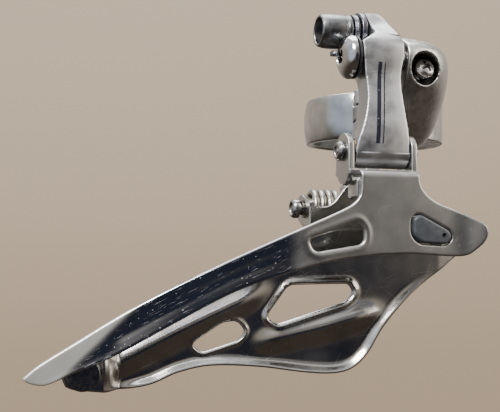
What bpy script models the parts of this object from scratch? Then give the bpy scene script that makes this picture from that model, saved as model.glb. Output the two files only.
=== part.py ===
"""Clamp-on front derailleur for a road bicycle, as an assembly of separate solids.

Frame: origin at the centre of the seat-tube clamp bore, +Z up along the tube, +X towards the
front of the bicycle, -Y outwards to the drive side. All lengths below are in millimetres and
become metres in solid(). The four linkage pivots are parallel to X.
"""
import math

import bmesh
import bpy
from mathutils import Matrix, Vector

MM = 0.001
GAP = 0.3                        # free space kept between two pieces that would touch

# Clamp
TUBE_R = 16.0                    # bore for a 32 mm seat tube
CLAMP_R = 19.6                   # outside of the fixed clamp half
BAND_R = 18.8                    # outside of the hinged band
CLAMP_HALF_H = 6.0
HINGE_ANGLE = -120.0             # where the band is hinged, seen from above, from +X
HINGE_R = 20.2
KNUCKLE_R = 2.0
KNUCKLE_SPLIT = 2.05             # half height of the band's centre knuckle, plus half a gap
BOLT_ANGLE = 73.0                # where the clamp bolt sits
BOLT_R = 23.3

# Linkage: (y, z) of each pivot axis, with the cage against its inner stop
UPPER_OUTER = Vector((-37.5, 9.6))
LOWER_OUTER = Vector((-40.8, -12.6))
INNER_OFFSET = Vector((14.9, -12.6))
UPPER_INNER = UPPER_OUTER + INNER_OFFSET
LOWER_INNER = LOWER_OUTER + INNER_OFFSET

# Fixed body
CHEEK_X = -8.5                   # flat side that faces both links
BODY_BACK_Y = -14.0
BODY_LEVELS = (                  # z, reach in x, reach in y from the corner (CHEEK_X, BODY_BACK_Y)
    (-9.6, 11.0, 10.0), (-8.6, 14.2, 13.0), (-5.5, 16.5, 17.5), (-1.0, 17.6, 21.5), (4.0, 18.0, 25.5),
    (9.0, 17.9, 27.6), (12.6, 17.2, 27.0), (14.6, 16.3, 24.0), (16.2, 15.2, 19.4), (17.6, 13.6, 13.0),
    (18.4, 12.0, 7.0))

# Outer link
ANCHOR = Vector((-31.0, 17.0))   # (y, z) of the cable anchor bolt
LEVER_LEFT = -15.8

# Cage
OUTER_FACE = -46.5               # outside of the outer plate
INNER_FACE = -34.1               # outside of the inner plate
PLATE = 1.2
EAR = 1.4
EAR_LEFT, EAR_RIGHT = -24.4, -9.2
BRACKET_LEFT, BRACKET_RIGHT = -29.2, -8.5
TAIL_SCREW = Vector((-80.8, -60.4))
OUTER_TAIL_BACK = -42.6          # inside of the outer plate at the tail spacer
INNER_TAIL_FACE = -39.3          # outside of the inner plate's stepped tail
NOSE_RIVETS = ((-2.6, -31.4), (1.6, -32.2))              # (x, z) of each rivet
BRACKET_RIVETS = ((-13.9, -31.0), (-10.6, -33.7))

# Openings in the plates, as (x, z) corners before rounding
INSERT = ((-10.1, -27.4), (-8.4, -26.3), (-0.6, -30.2), (0.1, -32.0), (-1.3, -33.6), (-8.2, -33.3),
          (-10.1, -31.4))
OUTER_WINDOW = ((-33.9, -32.4), (-33.1, -34.6), (-31.7, -35.2), (-22.2, -33.6), (-21.2, -32.6),
                (-21.1, -30.4),
                (-22.6, -28.3))
BIG_WINDOW = ((-39.7, -50.0), (-34.6, -43.0), (-20.0, -42.8), (-18.8, -44.6), (-20.6, -46.8),
              (-37.6, -51.8))
SLOT_WINDOW = ((-57.0, -55.8), (-50.0, -51.2), (-46.6, -51.0), (-44.6, -53.2), (-46.2, -55.3),
               (-54.8, -57.8))

# Rear ear's rounded lower end, as (y, z), and a tab bent back from the neck, as (x, z)
REAR_EAR_TONGUE = ((-37.4, -17.0), (-37.9, -18.6), (-39.4, -19.9), (-41.6, -20.2), (-43.8, -19.2),
                   (-44.8, -17.0))
NECK_TAB = ((-22.7, -19.2), (-21.3, -19.2), (-21.3, -22.9), (-22.0, -23.5), (-22.7, -22.9))

# Radii of pins and bushes; each hole is PLAY wider than the piece in it
PLAY = 0.15
HINGE_PIN_R = 1.0
TOP_BOLT_R, TOP_BUSH_R = 2.15, 3.2
LOW_PIN_R, LOW_BUSH_R = 1.75, 2.6
INNER_TOP_PIN_R = 1.5
RIVET_R, RIVET_HEAD_R, RIVET_HOLE_R = 1.0, 1.9, 1.2

SILVER = (0.62, 0.62, 0.61)
POLISHED = (0.72, 0.71, 0.69)
DARK_STEEL = (0.20, 0.19, 0.18)
CHROME = (0.55, 0.55, 0.56)
INSERT_GREY = (0.09, 0.10, 0.115)
BLACK = (0.02, 0.02, 0.02)
BRONZE = (0.45, 0.30, 0.14)


# ---------------------------------------------------------------- scene helpers

def clear_scene():
    for old in list(bpy.data.objects):
        bpy.data.objects.remove(old)


def material(name, colour, roughness, metallic):
    made = bpy.data.materials.new(name)
    made.use_nodes = True
    shader = made.node_tree.nodes["Principled BSDF"]
    shader.inputs["Base Color"].default_value = (*colour, 1.0)
    shader.inputs["Roughness"].default_value = roughness
    shader.inputs["Metallic"].default_value = metallic
    return made


def solid(name, bm, finish=None, smooth_angle=32):
    """Turn a bmesh in millimetres into an object in metres, with its faces pointing out."""
    bmesh.ops.remove_doubles(bm, verts=bm.verts, dist=0.0005)
    bmesh.ops.recalc_face_normals(bm, faces=bm.faces)
    bmesh.ops.scale(bm, verts=bm.verts, vec=(MM, MM, MM))
    mesh = bpy.data.meshes.new(name)
    bm.to_mesh(mesh)
    bm.free()
    made = bpy.data.objects.new(name, mesh)
    bpy.context.scene.collection.objects.link(made)
    mesh.shade_smooth()
    mesh.set_sharp_from_angle(angle=math.radians(smooth_angle))
    if finish:
        mesh.materials.append(material(name, *finish))
    return made


def helper(made):
    made.hide_render = True
    made.display_type = "WIRE"
    return made


def combine(target, tool, operation="DIFFERENCE"):
    step = target.modifiers.new(tool.name, "BOOLEAN")
    step.operation = operation
    step.object = helper(tool)


def joint_empty(name, origin, parent=None):
    made = bpy.data.objects.new(name, None)
    bpy.context.scene.collection.objects.link(made)
    made.empty_display_size = 0.004
    base = Vector((0, 0, 0))
    if parent:
        made.parent = parent
        base = Vector(parent["joint_at"])
    made.location = Vector(origin) * MM - base
    made["joint_at"] = tuple(Vector(origin) * MM)
    return made


def hang_on(made, empty):
    """Parent a solid to the empty on its joint's axis, with its own origin there."""
    at = Vector(empty["joint_at"])
    made.data.transform(Matrix.Translation(-at))
    made.parent = empty


# ---------------------------------------------------------------- outlines

def arc(centre, radius, start, end, steps):
    """Points on an arc, angles in degrees."""
    angles = [math.radians(start + (end - start) * i / steps) for i in range(steps + 1)]
    return [(centre[0] + radius * math.cos(a), centre[1] + radius * math.sin(a)) for a in angles]


def rounded(corners, radius, steps=4):
    """A closed polygon with each corner replaced by a small curve."""
    points = []
    for i, corner in enumerate(corners):
        here = Vector(corner)
        back = Vector(corners[i - 1]) - here
        ahead = Vector(corners[(i + 1) % len(corners)]) - here
        reach = min(radius, back.length * 0.45, ahead.length * 0.45)
        start = here + back.normalized() * reach
        end = here + ahead.normalized() * reach
        for k in range(steps + 1):
            t = k / steps
            points.append(tuple(start * (1 - t) ** 2 + here * 2 * t * (1 - t) + end * t * t))
    return points


def along(points, position):
    """Height of a smooth curve through points, at one position on the first axis."""
    last = len(points) - 1
    if position <= points[0][0]:
        return points[0][1]
    if position >= points[last][0]:
        return points[last][1]
    k = max(i for i in range(last) if points[i][0] <= position)

    def slope(i):
        low, high = points[max(i - 1, 0)], points[min(i + 1, last)]
        return (high[1] - low[1]) / (high[0] - low[0])

    (x0, z0), (x1, z1) = points[k], points[k + 1]
    span = x1 - x0
    t = (position - x0) / span
    return ((2 * t ** 3 - 3 * t * t + 1) * z0 + (t ** 3 - 2 * t * t + t) * span * slope(k)
            + (3 * t * t - 2 * t ** 3) * z1 + (t ** 3 - t * t) * span * slope(k + 1))


def ease(low, high, value):
    """0 below low, 1 above high, smooth between."""
    t = min(max((value - low) / (high - low), 0.0), 1.0)
    return t * t * (3 - 2 * t)


# ---------------------------------------------------------------- basic solids

AXIS_ORDER = {"X": lambda u, v, w: (w, u, v),
              "Y": lambda u, v, w: (u, w, v),
              "Z": lambda u, v, w: (u, v, w)}


def prism(outline, low, high, axis):
    """Extrude an outline along an axis. Outlines are (y, z) for X, (x, z) for Y, (x, y) for Z."""
    bm = bmesh.new()
    put = AXIS_ORDER[axis]
    bottom = [bm.verts.new(put(u, v, low)) for u, v in outline]
    top = [bm.verts.new(put(u, v, high)) for u, v in outline]
    bm.faces.new(bottom)
    bm.faces.new(top)
    count = len(outline)
    for i in range(count):
        j = (i + 1) % count
        bm.faces.new((bottom[i], bottom[j], top[j], top[i]))
    return bm


def turned(profile, centre, direction, segments=24):
    """Spin a profile of (radius, height) pairs about an axis; both ends close on the axis or a ring."""
    bm = bmesh.new()
    turn = Vector(direction).to_track_quat("Z", "Y").to_matrix()
    rings = []
    for radius, height in profile:
        if radius < 1e-6:
            rings.append([bm.verts.new(turn @ Vector((0, 0, height)) + Vector(centre))])
            continue
        ring = []
        for i in range(segments):
            a = 2 * math.pi * i / segments
            spot = Vector((radius * math.cos(a), radius * math.sin(a), height))
            ring.append(bm.verts.new(turn @ spot + Vector(centre)))
        rings.append(ring)
    pairs = list(zip(rings, rings[1:]))
    if len(rings[0]) > 1:
        pairs.append((rings[-1], rings[0]))
    for low, high in pairs:
        for i in range(segments):
            j = (i + 1) % segments
            corners = [low[i % len(low)], low[j % len(low)], high[j % len(high)], high[i % len(high)]]
            unique = list(dict.fromkeys(corners))
            if len(unique) > 2:
                bm.faces.new(unique)
    return bm


def rod(radius, low, high, at, segments=20):
    """A plain round cutter along X through (y, z)."""
    return turned([(0, low), (radius, low), (radius, high), (0, high)], (0, at[0], at[1]), (1, 0, 0),
                  segments)


def sector(inner, outer, start, end, low, high, steps):
    """Part of a tube about Z, between two angles in degrees."""
    outline = arc((0, 0), inner, start, end, steps) + arc((0, 0), outer, end, start, steps)
    return prism(outline, low, high, "Z")


def tube_along(points, radius, sides=8):
    """A closed round bar that follows a list of points."""
    bm = bmesh.new()
    spots = [Vector(p) for p in points]
    rings = []
    side = None
    for i, spot in enumerate(spots):
        run = (spots[min(i + 1, len(spots) - 1)] - spots[max(i - 1, 0)]).normalized()
        if side is None:
            side = run.orthogonal().normalized()
        side = (side - run * side.dot(run)).normalized()
        other = run.cross(side)
        rings.append([bm.verts.new(spot + (side * math.cos(a) + other * math.sin(a)) * radius)
                      for a in (2 * math.pi * k / sides for k in range(sides))])
    for low, high in zip(rings, rings[1:]):
        for k in range(sides):
            j = (k + 1) % sides
            bm.faces.new((low[k], low[j], high[j], high[k]))
    bm.faces.new(rings[0])
    bm.faces.new(rings[-1])
    return bm


def plate(stations, rows, top, bottom, face, thickness):
    """Sheet metal between a top and a bottom edge; face(x, z, share) is its outer side's y."""
    bm = bmesh.new()
    grids = []
    for depth in (0.0, thickness):
        grid = []
        for x in stations:
            high, low = top(x), bottom(x)
            column = []
            for r in range(rows + 1):
                share = r / rows
                z = high + (low - high) * share
                column.append(bm.verts.new((x, face(x, z, share) + depth, z)))
            grid.append(column)
        grids.append(grid)
    outer, inner = grids
    last = len(stations) - 1
    for i in range(last):
        for r in range(rows):
            bm.faces.new((outer[i][r], outer[i + 1][r], outer[i + 1][r + 1], outer[i][r + 1]))
            bm.faces.new((inner[i][r], inner[i][r + 1], inner[i + 1][r + 1], inner[i + 1][r]))
        for r in (0, rows):
            bm.faces.new((outer[i][r], outer[i + 1][r], inner[i + 1][r], inner[i][r]))
    for i in (0, last):
        for r in range(rows):
            bm.faces.new((outer[i][r], outer[i][r + 1], inner[i][r + 1], inner[i][r]))
    return bm


# ---------------------------------------------------------------- clamp and fixed body

def polar(radius, degrees):
    return Vector((radius * math.cos(math.radians(degrees)), radius * math.sin(math.radians(degrees))))


HINGE = polar(HINGE_R, HINGE_ANGLE)
BOLT = polar(BOLT_R, BOLT_ANGLE)
BOLT_RUN = polar(1.0, BOLT_ANGLE + 90)      # along the clamp bolt, towards its head


def knuckle(ring_angle, low, high):
    """A hinge eye with the web that joins it to the end of a clamp half."""
    root = [polar(TUBE_R, ring_angle), polar(BAND_R - 0.2, ring_angle)]
    away = (HINGE - polar(TUBE_R, HINGE_ANGLE)).normalized()
    across = Vector((-away.y, away.x))
    side = 1 if ring_angle > HINGE_ANGLE else -1
    outline = [tuple(root[0]), tuple(root[1]), tuple(HINGE + across * side * KNUCKLE_R * 0.9),
               tuple(HINGE - away * 1.2 - across * side * 0.5)]
    return prism(outline, low, high, "Z")


def eye(low, high):
    return turned([(0, low), (KNUCKLE_R, low), (KNUCKLE_R, high), (0, high)], (*HINGE, 0), (0, 0, 1), 22)


def hinge_hole(name):
    radius = HINGE_PIN_R + PLAY
    return solid(name, turned([(0, -9), (radius, -9), (radius, 9), (0, 9)], (*HINGE, 0), (0, 0, 1), 16))


def lug(near, far):
    """A clamp bolt lug: a block across the bolt's line, between two distances along it."""
    out = polar(1.0, BOLT_ANGLE)
    inner, outer = out * 16.6, out * 28.2
    outline = [tuple(inner + BOLT_RUN * near), tuple(outer + BOLT_RUN * near),
               tuple(outer + BOLT_RUN * far), tuple(inner + BOLT_RUN * far)]
    return prism(outline, -5.2, 5.2, "Z")


def bolt_hole(radius):
    return turned([(0, -12), (radius, -12), (radius, 12), (0, 12)], (*BOLT, 0), (*BOLT_RUN, 0), 20)


def body_shell():
    """The rounded housing that holds the links, lofted through horizontal sections."""
    bm = bmesh.new()
    steps, power = 12, 2.0 / 2.5
    rings = []
    for z, reach_x, reach_y in BODY_LEVELS:
        ring = [bm.verts.new((CHEEK_X, BODY_BACK_Y, z))]
        for i in range(steps + 1):
            a = math.pi / 2 * i / steps
            ring.append(bm.verts.new((CHEEK_X + reach_x * math.sin(a) ** power,
                                      BODY_BACK_Y - reach_y * math.cos(a) ** power, z)))
        rings.append(ring)
    for low, high in zip(rings, rings[1:]):
        for i in range(len(low)):
            j = (i + 1) % len(low)
            bm.faces.new((low[i], low[j], high[j], high[i]))
    bm.faces.new(rings[0])
    bm.faces.new(rings[-1])
    return bm


LOW_SCREW = (Vector((-2.4, -35.6, 7.6)), Vector((0.06, -0.93, 0.36)))
LOW_POCKET = Vector((-0.07, -0.99, 0.05))
HIGH_SCREW = (Vector((-3.4, -27.2, 14.6)), Vector((0.0, -0.42, 0.91)))


def fixed_body():
    made = solid("fixed_body", sector(TUBE_R, CLAMP_R, -112, 66.5, -CLAMP_HALF_H, CLAMP_HALF_H, 26),
                 (SILVER, 0.32, 1.0))
    combine(made, solid("body_shell", body_shell()), "UNION")
    for name, low, high in (("lower_eye", -CLAMP_HALF_H, -KNUCKLE_SPLIT - 0.15),
                            ("upper_eye", KNUCKLE_SPLIT + 0.15, CLAMP_HALF_H)):
        combine(made, solid(name + "_web", knuckle(-110.5, low, high)), "UNION")
        combine(made, solid(name, eye(low, high)), "UNION")
    combine(made, solid("fixed_lug", lug(-5.0, -1.2)), "UNION")
    bore = turned([(0, -30), (TUBE_R, -30), (TUBE_R, 40), (0, 40)], (0, 0, 0), (0, 0, 1), 72)
    combine(made, solid("tube_bore", bore))
    combine(made, solid("fixed_lug_hole", bolt_hole(3.7)))
    room, half = KNUCKLE_R + 0.6, KNUCKLE_SPLIT + 0.15
    seat = turned([(0, -half), (room, -half), (room, half), (0, half)], (*HINGE, 0), (0, 0, 1), 20)
    combine(made, solid("band_eye_room", seat))
    combine(made, hinge_hole("fixed_eye_hole"))
    combine(made, solid("upper_outer_hole", rod(TOP_BOLT_R + PLAY, -12, -7.0, UPPER_OUTER)))
    combine(made, solid("upper_inner_hole", rod(INNER_TOP_PIN_R + PLAY, -12, -2.2, UPPER_INNER)))
    for name, (at, out), way, pocket, depth in (("low", LOW_SCREW, LOW_POCKET, 3.8, 1.2),
                                                ("high", HIGH_SCREW, HIGH_SCREW[1], 2.8, 0.4)):
        recess = turned([(0, -depth), (pocket, -depth), (pocket, 14), (0, 14)], at, way, 24)
        combine(made, solid(name + "_pocket", recess))
        thread = turned([(0, -7), (1.6, -7), (1.6, 1), (0, 1)], at, out, 16)
        combine(made, solid(name + "_thread", thread))
    return made


def clamp_band():
    start, end = BOLT_ANGLE + 6.5, 360 + HINGE_ANGLE - 6
    made = solid("clamp_band", sector(TUBE_R, BAND_R, start, end, -CLAMP_HALF_H, CLAMP_HALF_H, 28),
                 (POLISHED, 0.22, 1.0))
    low, high = -KNUCKLE_SPLIT + 0.15, KNUCKLE_SPLIT - 0.15
    combine(made, solid("band_eye_web", knuckle(HINGE_ANGLE - 7.5, low, high)), "UNION")
    combine(made, solid("band_eye", eye(low, high)), "UNION")
    combine(made, solid("band_lug", lug(1.2, 5.4)), "UNION")
    combine(made, solid("band_lug_hole", bolt_hole(2.75)))
    combine(made, hinge_hole("band_eye_hole"))
    return made


def socket_screw(name, at, out, head, shank, socket, finish, segments=20):
    """A round-headed screw with a hexagon socket. head and shank are (radius, low, high)."""
    profile = [(0, shank[1]), (shank[0], shank[1]), (shank[0], head[1]), (head[0], head[1]),
               (head[0], head[2] - 0.5), (head[0] - 0.5, head[2]), (0, head[2])]
    made = solid(name, turned(profile, at, out, segments), finish)
    key = turned([(0, head[2] - socket[1]), (socket[0], head[2] - socket[1]), (socket[0], head[2] + 1),
                  (0, head[2] + 1)], at, out, 6)
    combine(made, solid(name + "_key", key))
    return made


def washer(name, at, out, inner, outer, low, high, finish, segments=24):
    return solid(name, turned([(inner, low), (outer, low), (outer, high), (inner, high)], at, out,
                              segments), finish)


def clamp_hardware():
    steel = (CHROME, 0.28, 1.0)
    pin = turned([(0, -6.4), (HINGE_PIN_R, -6.4), (HINGE_PIN_R, 6.4), (0, 6.4)], (*HINGE, 0), (0, 0, 1),
                 16)
    hinge_pin = solid("clamp_hinge_pin", pin, steel)
    at, out = (*BOLT, 0), (*BOLT_RUN, 0)
    bolt = socket_screw("clamp_bolt", at, out, (4.2, 7.0, 11.6), (2.35, -8.0), (2.3, 3.0), steel)
    ring = washer("clamp_washer", at, out, 2.65, 4.9, 5.7, 6.7, steel)
    return hinge_pin, bolt, ring


# ---------------------------------------------------------------- upper pivot and screws

def dome_bolt():
    """Pivot bolt of the outer link: a domed head with a hexagon socket, facing the rear."""
    radius, seat, rise = 5.05, 20.9, 2.7
    profile = [(0, 7.3), (TOP_BOLT_R, 7.3), (TOP_BOLT_R, seat), (radius, seat)]
    profile += [(radius * math.cos(a), seat + 0.5 + rise * math.sin(a)) for a in (0, 0.3, 0.6, 0.9, 1.15)]
    profile += [(0, seat + 0.5 + rise * math.sin(1.15))]
    at, out = (0, *UPPER_OUTER), (-1, 0, 0)
    made = solid("upper_outer_pivot_bolt", turned(profile, at, out, 28), (CHROME, 0.15, 1.0))
    combine(made, solid("pivot_bolt_key",
                        turned([(0, 21.4), (1.75, 21.4), (1.75, 27), (0, 27)], at, out, 6)))
    return made


def limit_screw(name, at, out, head_r):
    """Small pan-head screw with a cross recess."""
    profile = [(0, -6.4), (1.35, -6.4), (1.35, 0.9), (head_r, 0.9), (head_r, 2.1), (head_r * 0.72, 3.0),
               (0, 3.1)]
    made = solid(name, turned(profile, at, out, 20), (CHROME, 0.25, 1.0))
    turn = Vector(out).to_track_quat("Z", "Y").to_matrix().to_4x4()
    for k, (half_u, half_v) in enumerate(((head_r * 0.52, 0.32), (0.32, head_r * 0.52))):
        bm = prism([(-half_u, -half_v), (half_u, -half_v), (half_u, half_v), (-half_u, half_v)], 1.9,
                   4.0, "Z")
        bmesh.ops.transform(bm, matrix=Matrix.Translation(at) @ turn, verts=bm.verts)
        combine(made, solid(f"{name}_slot_{k}", bm))
    return made


# ---------------------------------------------------------------- links

def outer_link():
    """Side view cut by front view: a flat arm that turns back at the top into the cable lever."""
    up, low = UPPER_OUTER, LOWER_OUTER
    side = arc(low, 3.7, 330, 180, 10)                           # round lower end, front side
    side += [(low.x - 3.6, -8.0), (up.x - 4.6, 5.0), (up.x - 4.7, 10.5), (up.x - 4.2, 13.2)]
    side += [(up.x - 2.4, 15.2), (-36.0, 18.4), (-34.0, 20.6)]
    side += arc(ANCHOR, 5.0, 112, -70, 9)                        # lever end, round the anchor bolt
    side += [(-32.2, 12.4), (-33.4, 11.6)]
    side += [(up.x + 4.6, 9.4), (up.x + 3.9, 6.6), (up.x + 1.2, 3.6), (low.x + 3.0, -3.0),
             (low.x + 2.9, -8.6)]
    made = solid("outer_link", prism(side, -24, -4, "X"), (SILVER, 0.3, 1.0))
    front = [(-22.3, -17), (-9.4, -17), (-9.4, -12.0), (-9.5, -8.4), (-10.2, -2.4), (-10.5, 2.4),
             (-10.4, 6.4), (-9.7, 8.6),
             (-9.6, 13.4), (-10.2, 16.6), (-10.7, 19.4), (-12.2, 21.7), (-14.0, 23), (LEVER_LEFT, 23),
             (LEVER_LEFT, 15.5), (-19.8, 12.8), (-19.4, 6.0), (-19.0, 1.6), (-19.9, -4.6), (-21.9, -10.4),
             (-22.3, -12.6)]
    combine(made, solid("arm_front_view", prism(front, -60, -10, "Y")), "INTERSECT")
    combine(made, solid("arm_upper_hole", rod(TOP_BUSH_R + PLAY, -30, 0, up)))
    combine(made, solid("arm_lower_hole", rod(LOW_BUSH_R + PLAY, -30, 0, low)))
    combine(made, solid("anchor_hole", rod(2.6, -30, 0, ANCHOR)))
    combine(made, solid("anchor_spot_face", rod(5.5, -30, LEVER_LEFT, ANCHOR, 28)))
    return made


def sleeve(name, at, inner, outer, low, high):
    return washer(name, (0, at[0], at[1]), (1, 0, 0), inner, outer, low, high, (BRONZE, 0.4, 1.0), 20)


def inner_link():
    """Short cast link between the fixed body and the cage's inner bracket."""
    up, low = UPPER_INNER, LOWER_INNER
    right = CHEEK_X - GAP
    side = arc(up, 2.6, 0, 180, 8) + arc(low, 3.2, 180, 360, 10)
    made = solid("inner_link", prism(side, -20, 0, "X"), (SILVER, 0.4, 1.0))
    front = [(right, -32), (right, 4), (-12.2, 4), (-12.2, -13.5), (-13.4, -16.5), (-17.8, -19.5),
             (-17.8, -32)]
    combine(made, solid("inner_link_front_view", prism(front, -40, -10, "Y")), "INTERSECT")
    combine(made, solid("inner_link_upper_hole", rod(1.62, -30, 0, up)))
    combine(made, solid("inner_link_lower_hole", rod(1.62, -30, 0, low)))
    return made


def pin(name, at, radius, low, high, head=None, tail=None, finish=(CHROME, 0.25, 1.0)):
    """A pivot pin along X; head and tail are (radius, length) of the riveted ends."""
    profile = [(0, low)]
    if head:
        profile = [(0, low - head[1]), (head[0] * 0.7, low - head[1]), (head[0], low - head[1] * 0.5),
                   (head[0], low)]
    profile += [(radius, low), (radius, high)]
    if tail:
        profile += [(tail[0], high), (tail[0], high + tail[1] * 0.5), (tail[0] * 0.7, high + tail[1])]
        profile += [(0, high + tail[1])]
    else:
        profile += [(0, high)]
    return solid(name, turned(profile, (0, at[0], at[1]), (1, 0, 0), 18), finish)


def anchor_bolt():
    """Cable clamping bolt: a deep round cap that opens to the rear, on a threaded shank."""
    at, out = (0, *ANCHOR), (-1, 0, 0)
    profile = [(0, 10.4), (2.35, 10.4), (2.35, 19.3), (3.9, 19.3), (4.1, 19.9), (4.1, 26.2), (3.7, 26.9),
               (3.1, 26.9), (3.0, 26.3), (3.0, 21.0), (0, 21.0)]
    return solid("cable_anchor_bolt", turned(profile, at, out, 28), (DARK_STEEL, 0.35, 1.0))


def clamp_plate():
    """Cable clamp plate under the anchor bolt, with the finger that stops it turning."""
    disc = turned([(2.6, 16.1), (4.9, 16.1), (4.9, 17.4), (2.6, 17.4)], (0, *ANCHOR), (-1, 0, 0), 24)
    made = solid("cable_clamp_plate", disc, (DARK_STEEL, 0.4, 1.0))
    finger = prism(rounded([(-31.9, 12.4), (-31.9, 11.2), (-30.1, 11.2), (-30.1, 12.4)], 0.2, 1), -23.6,
                   -16.1, "X")
    combine(made, solid("finger", finger), "UNION")
    return made


def return_spring():
    """Torsion spring round the lower inner pin, with a leg to each side of the pivot."""
    turns, mean_r, steps = 4.0, 4.1, 18
    y0, z0 = LOWER_INNER
    start, end = -26.7, -19.6
    points = [(start, y0 - mean_r, z0 - 5.2), (start, y0 - mean_r, z0 - 2.6)]
    for i in range(int(turns * steps) + 1):
        a = math.pi - 2 * math.pi * i / steps
        share = i / (turns * steps)
        points.append((start + (end - start) * share, y0 + mean_r * math.cos(a),
                       z0 + mean_r * math.sin(a)))
    points += [(end + 0.2, y0 - mean_r + 0.1, z0 + 2.6), (end + 0.6, y0 - mean_r + 0.6, z0 + 6.0)]
    return solid("return_spring", tube_along(points, 0.72, 8), (SILVER, 0.35, 1.0))


# ---------------------------------------------------------------- cage

OUTER_TOP = ((-92.6, -60.6), (-90, -58.4), (-84, -54.6), (-70, -46.1), (-55, -38.7), (-40, -32.0),
             (-28, -26.8),
             (-24.2, -24.9), (-22.9, -24.0))
OUTER_NECK_X = (-22.0, -8.3)
OUTER_FRONT_TOP = ((-8.3, -19.4), (-7.0, -21.6), (-4.2, -23.6), (0.2, -25.3), (4.6, -27.2),
                   (7.2, -28.8), (8.0, -30.2))
OUTER_BOTTOM = ((-92.6, -60.8), (-91.5, -61.6), (-88.4, -62.1), (-84, -60.4), (-75, -56.6),
                (-62, -49.6), (-50, -43.6),
                (-38, -39.6), (-26, -36.7), (-12, -35.5), (0, -36.0), (3.9, -35.6), (6.8, -33.2),
                (8.0, -30.8))
NECK_TOP = -17.6

INNER_TOP = ((-85.2, -60.0), (-84.2, -58.6), (-74.5, -54.6), (-60, -46.2), (-45, -38.6), (-32, -33.0),
             (-24, -30.4),
             (-12, -29.4), (-4, -28.8), (4, -30.4), (8.6, -34.6))
INNER_BOTTOM = ((-85.2, -60.8), (-84.2, -63.4), (-79, -64.6), (-72, -65.0), (-66, -64.1), (-60, -61.8),
                (-53, -60.6),
                (-42, -61.2), (-30, -62.9), (-23.5, -63.2), (-19.2, -62.1), (-15.6, -59.0),
                (-11.5, -52.6),
                (-5.4, -46.2), (0.4, -41.8), (8.6, -36.4))


def outer_top(x):
    left, right = OUTER_NECK_X
    if x < left - 0.9:
        return along(OUTER_TOP, x)
    if x > right + 0.001:
        return along(OUTER_FRONT_TOP, x)
    if x < left - 0.01:
        return -22.6
    return NECK_TOP


def outer_face(x, z, share):
    """Outside of the outer plate: flat at the neck, a hollow channel along the tail, a flared nose."""
    tail = 1 - ease(-75, -30, x)
    channel = 0.5 * tail * math.sin(math.pi * ease(0.28, 1.0, share)) ** 2
    lip = -0.9 * (1 - ease(-34, -20, x)) * ease(0.72, 1.0, share) * ease(-92, -82, x)
    flare = -2.2 * ease(-2, 9, x) ** 2
    toe_in = 2.4 * (1 - ease(-93, -58, x))
    return OUTER_FACE + channel + lip + flare + toe_in


def inner_face(x, z, share):
    """Outside of the inner plate: a rounded ridge, a dished field, a rolled bottom edge, a stepped tail."""
    ridge = -1.0 * math.exp(-((share - 0.42) / 0.10) ** 2) * (1 - ease(-42, -30, x)) * ease(-80, -70, x)
    lip = -2.4 * ease(0.84, 1.0, share) ** 1.5 * ease(-78, -66, x) * (1 - ease(-8, 4, x))
    step = -4.4 * (1 - ease(-76.5, -72.5, x))
    toe_in = -0.8 * (1 - ease(-72, -40, x))
    flare = 1.6 * ease(3, 9, x)
    return INNER_FACE + ridge + lip + step + toe_in + flare


def spread(low, high, count):
    return [low + (high - low) * i / count for i in range(count + 1)]


def window(name, corners, radius):
    return solid(name, prism(rounded(corners, radius, 4), -60, -20, "Y"))


def shrunk(corners, by):
    """Move each corner towards the middle of the outline."""
    middle = sum((Vector(c) for c in corners), Vector((0, 0))) / len(corners)
    return [tuple(Vector(c) - (Vector(c) - middle).normalized() * by) for c in corners]


def ear(centre, radius, foot_low, foot_high, floor, low, high):
    """A round-topped ear in the YZ plane, standing on a strip from foot_low to foot_high in y."""
    outline = [(foot_high, floor)] + arc(centre, radius, 20, 160, 10) + [(foot_low, floor)]
    return prism(outline, low, high, "X")


def cage_outer_plate():
    stations = spread(-92.6, -24.2, 30) + [-22.95, -22.85, -21.98] + spread(-20, -10, 5) + [-8.3]
    stations += [-8.2] + spread(-7.2, 8.0, 10)
    made = solid("cage_outer_plate",
                 plate(stations, 8, outer_top, lambda x: along(OUTER_BOTTOM, x), outer_face, PLATE),
                 (CHROME, 0.12, 1.0))
    flange = prism([(EAR_LEFT, -16.9), (EAR_LEFT, -18.1), (EAR_RIGHT + EAR, -18.1),
                    (EAR_RIGHT + EAR, -16.9)],
                   OUTER_FACE + 0.1, -36.6, "Y")
    combine(made, solid("top_flange", flange), "UNION")
    for name, low in (("rear_ear", EAR_LEFT), ("front_ear", EAR_RIGHT)):
        combine(made, solid(name,
                            ear(LOWER_OUTER, 4.1, OUTER_FACE + 1.6, -36.7, -17.6, low, low + EAR)),
                "UNION")
    tongue = prism(REAR_EAR_TONGUE, EAR_LEFT, EAR_LEFT + EAR, "X")
    combine(made, solid("rear_ear_tongue", tongue), "UNION")
    combine(made, solid("neck_tab", prism(NECK_TAB, OUTER_FACE + 0.9, -40.2, "Y")), "UNION")
    bridge = [(-4.0, -24.1), (-4.0, -25.3), (3.0, -28.0), (3.0, -26.8)]
    combine(made, solid("nose_bridge", prism(bridge, OUTER_FACE + 0.6, INNER_FACE - GAP, "Y")), "UNION")
    tab = [(-4.0, -24.1), (3.0, -26.8), (3.0, -34.2), (-4.0, -34.2)]
    combine(made, solid("nose_tab", prism(tab, INNER_FACE - GAP - 1.1, INNER_FACE - GAP, "Y")), "UNION")
    combine(made, window("outer_window", OUTER_WINDOW, 1.1))
    combine(made, solid("insert_opening", prism(rounded(INSERT, 1.2, 4), -60, -40, "Y")))
    combine(made, solid("outer_pin_hole", rod(LOW_PIN_R + PLAY, -30, 0, LOWER_OUTER)))
    rivet_holes(made, NOSE_RIVETS)
    return made


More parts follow.
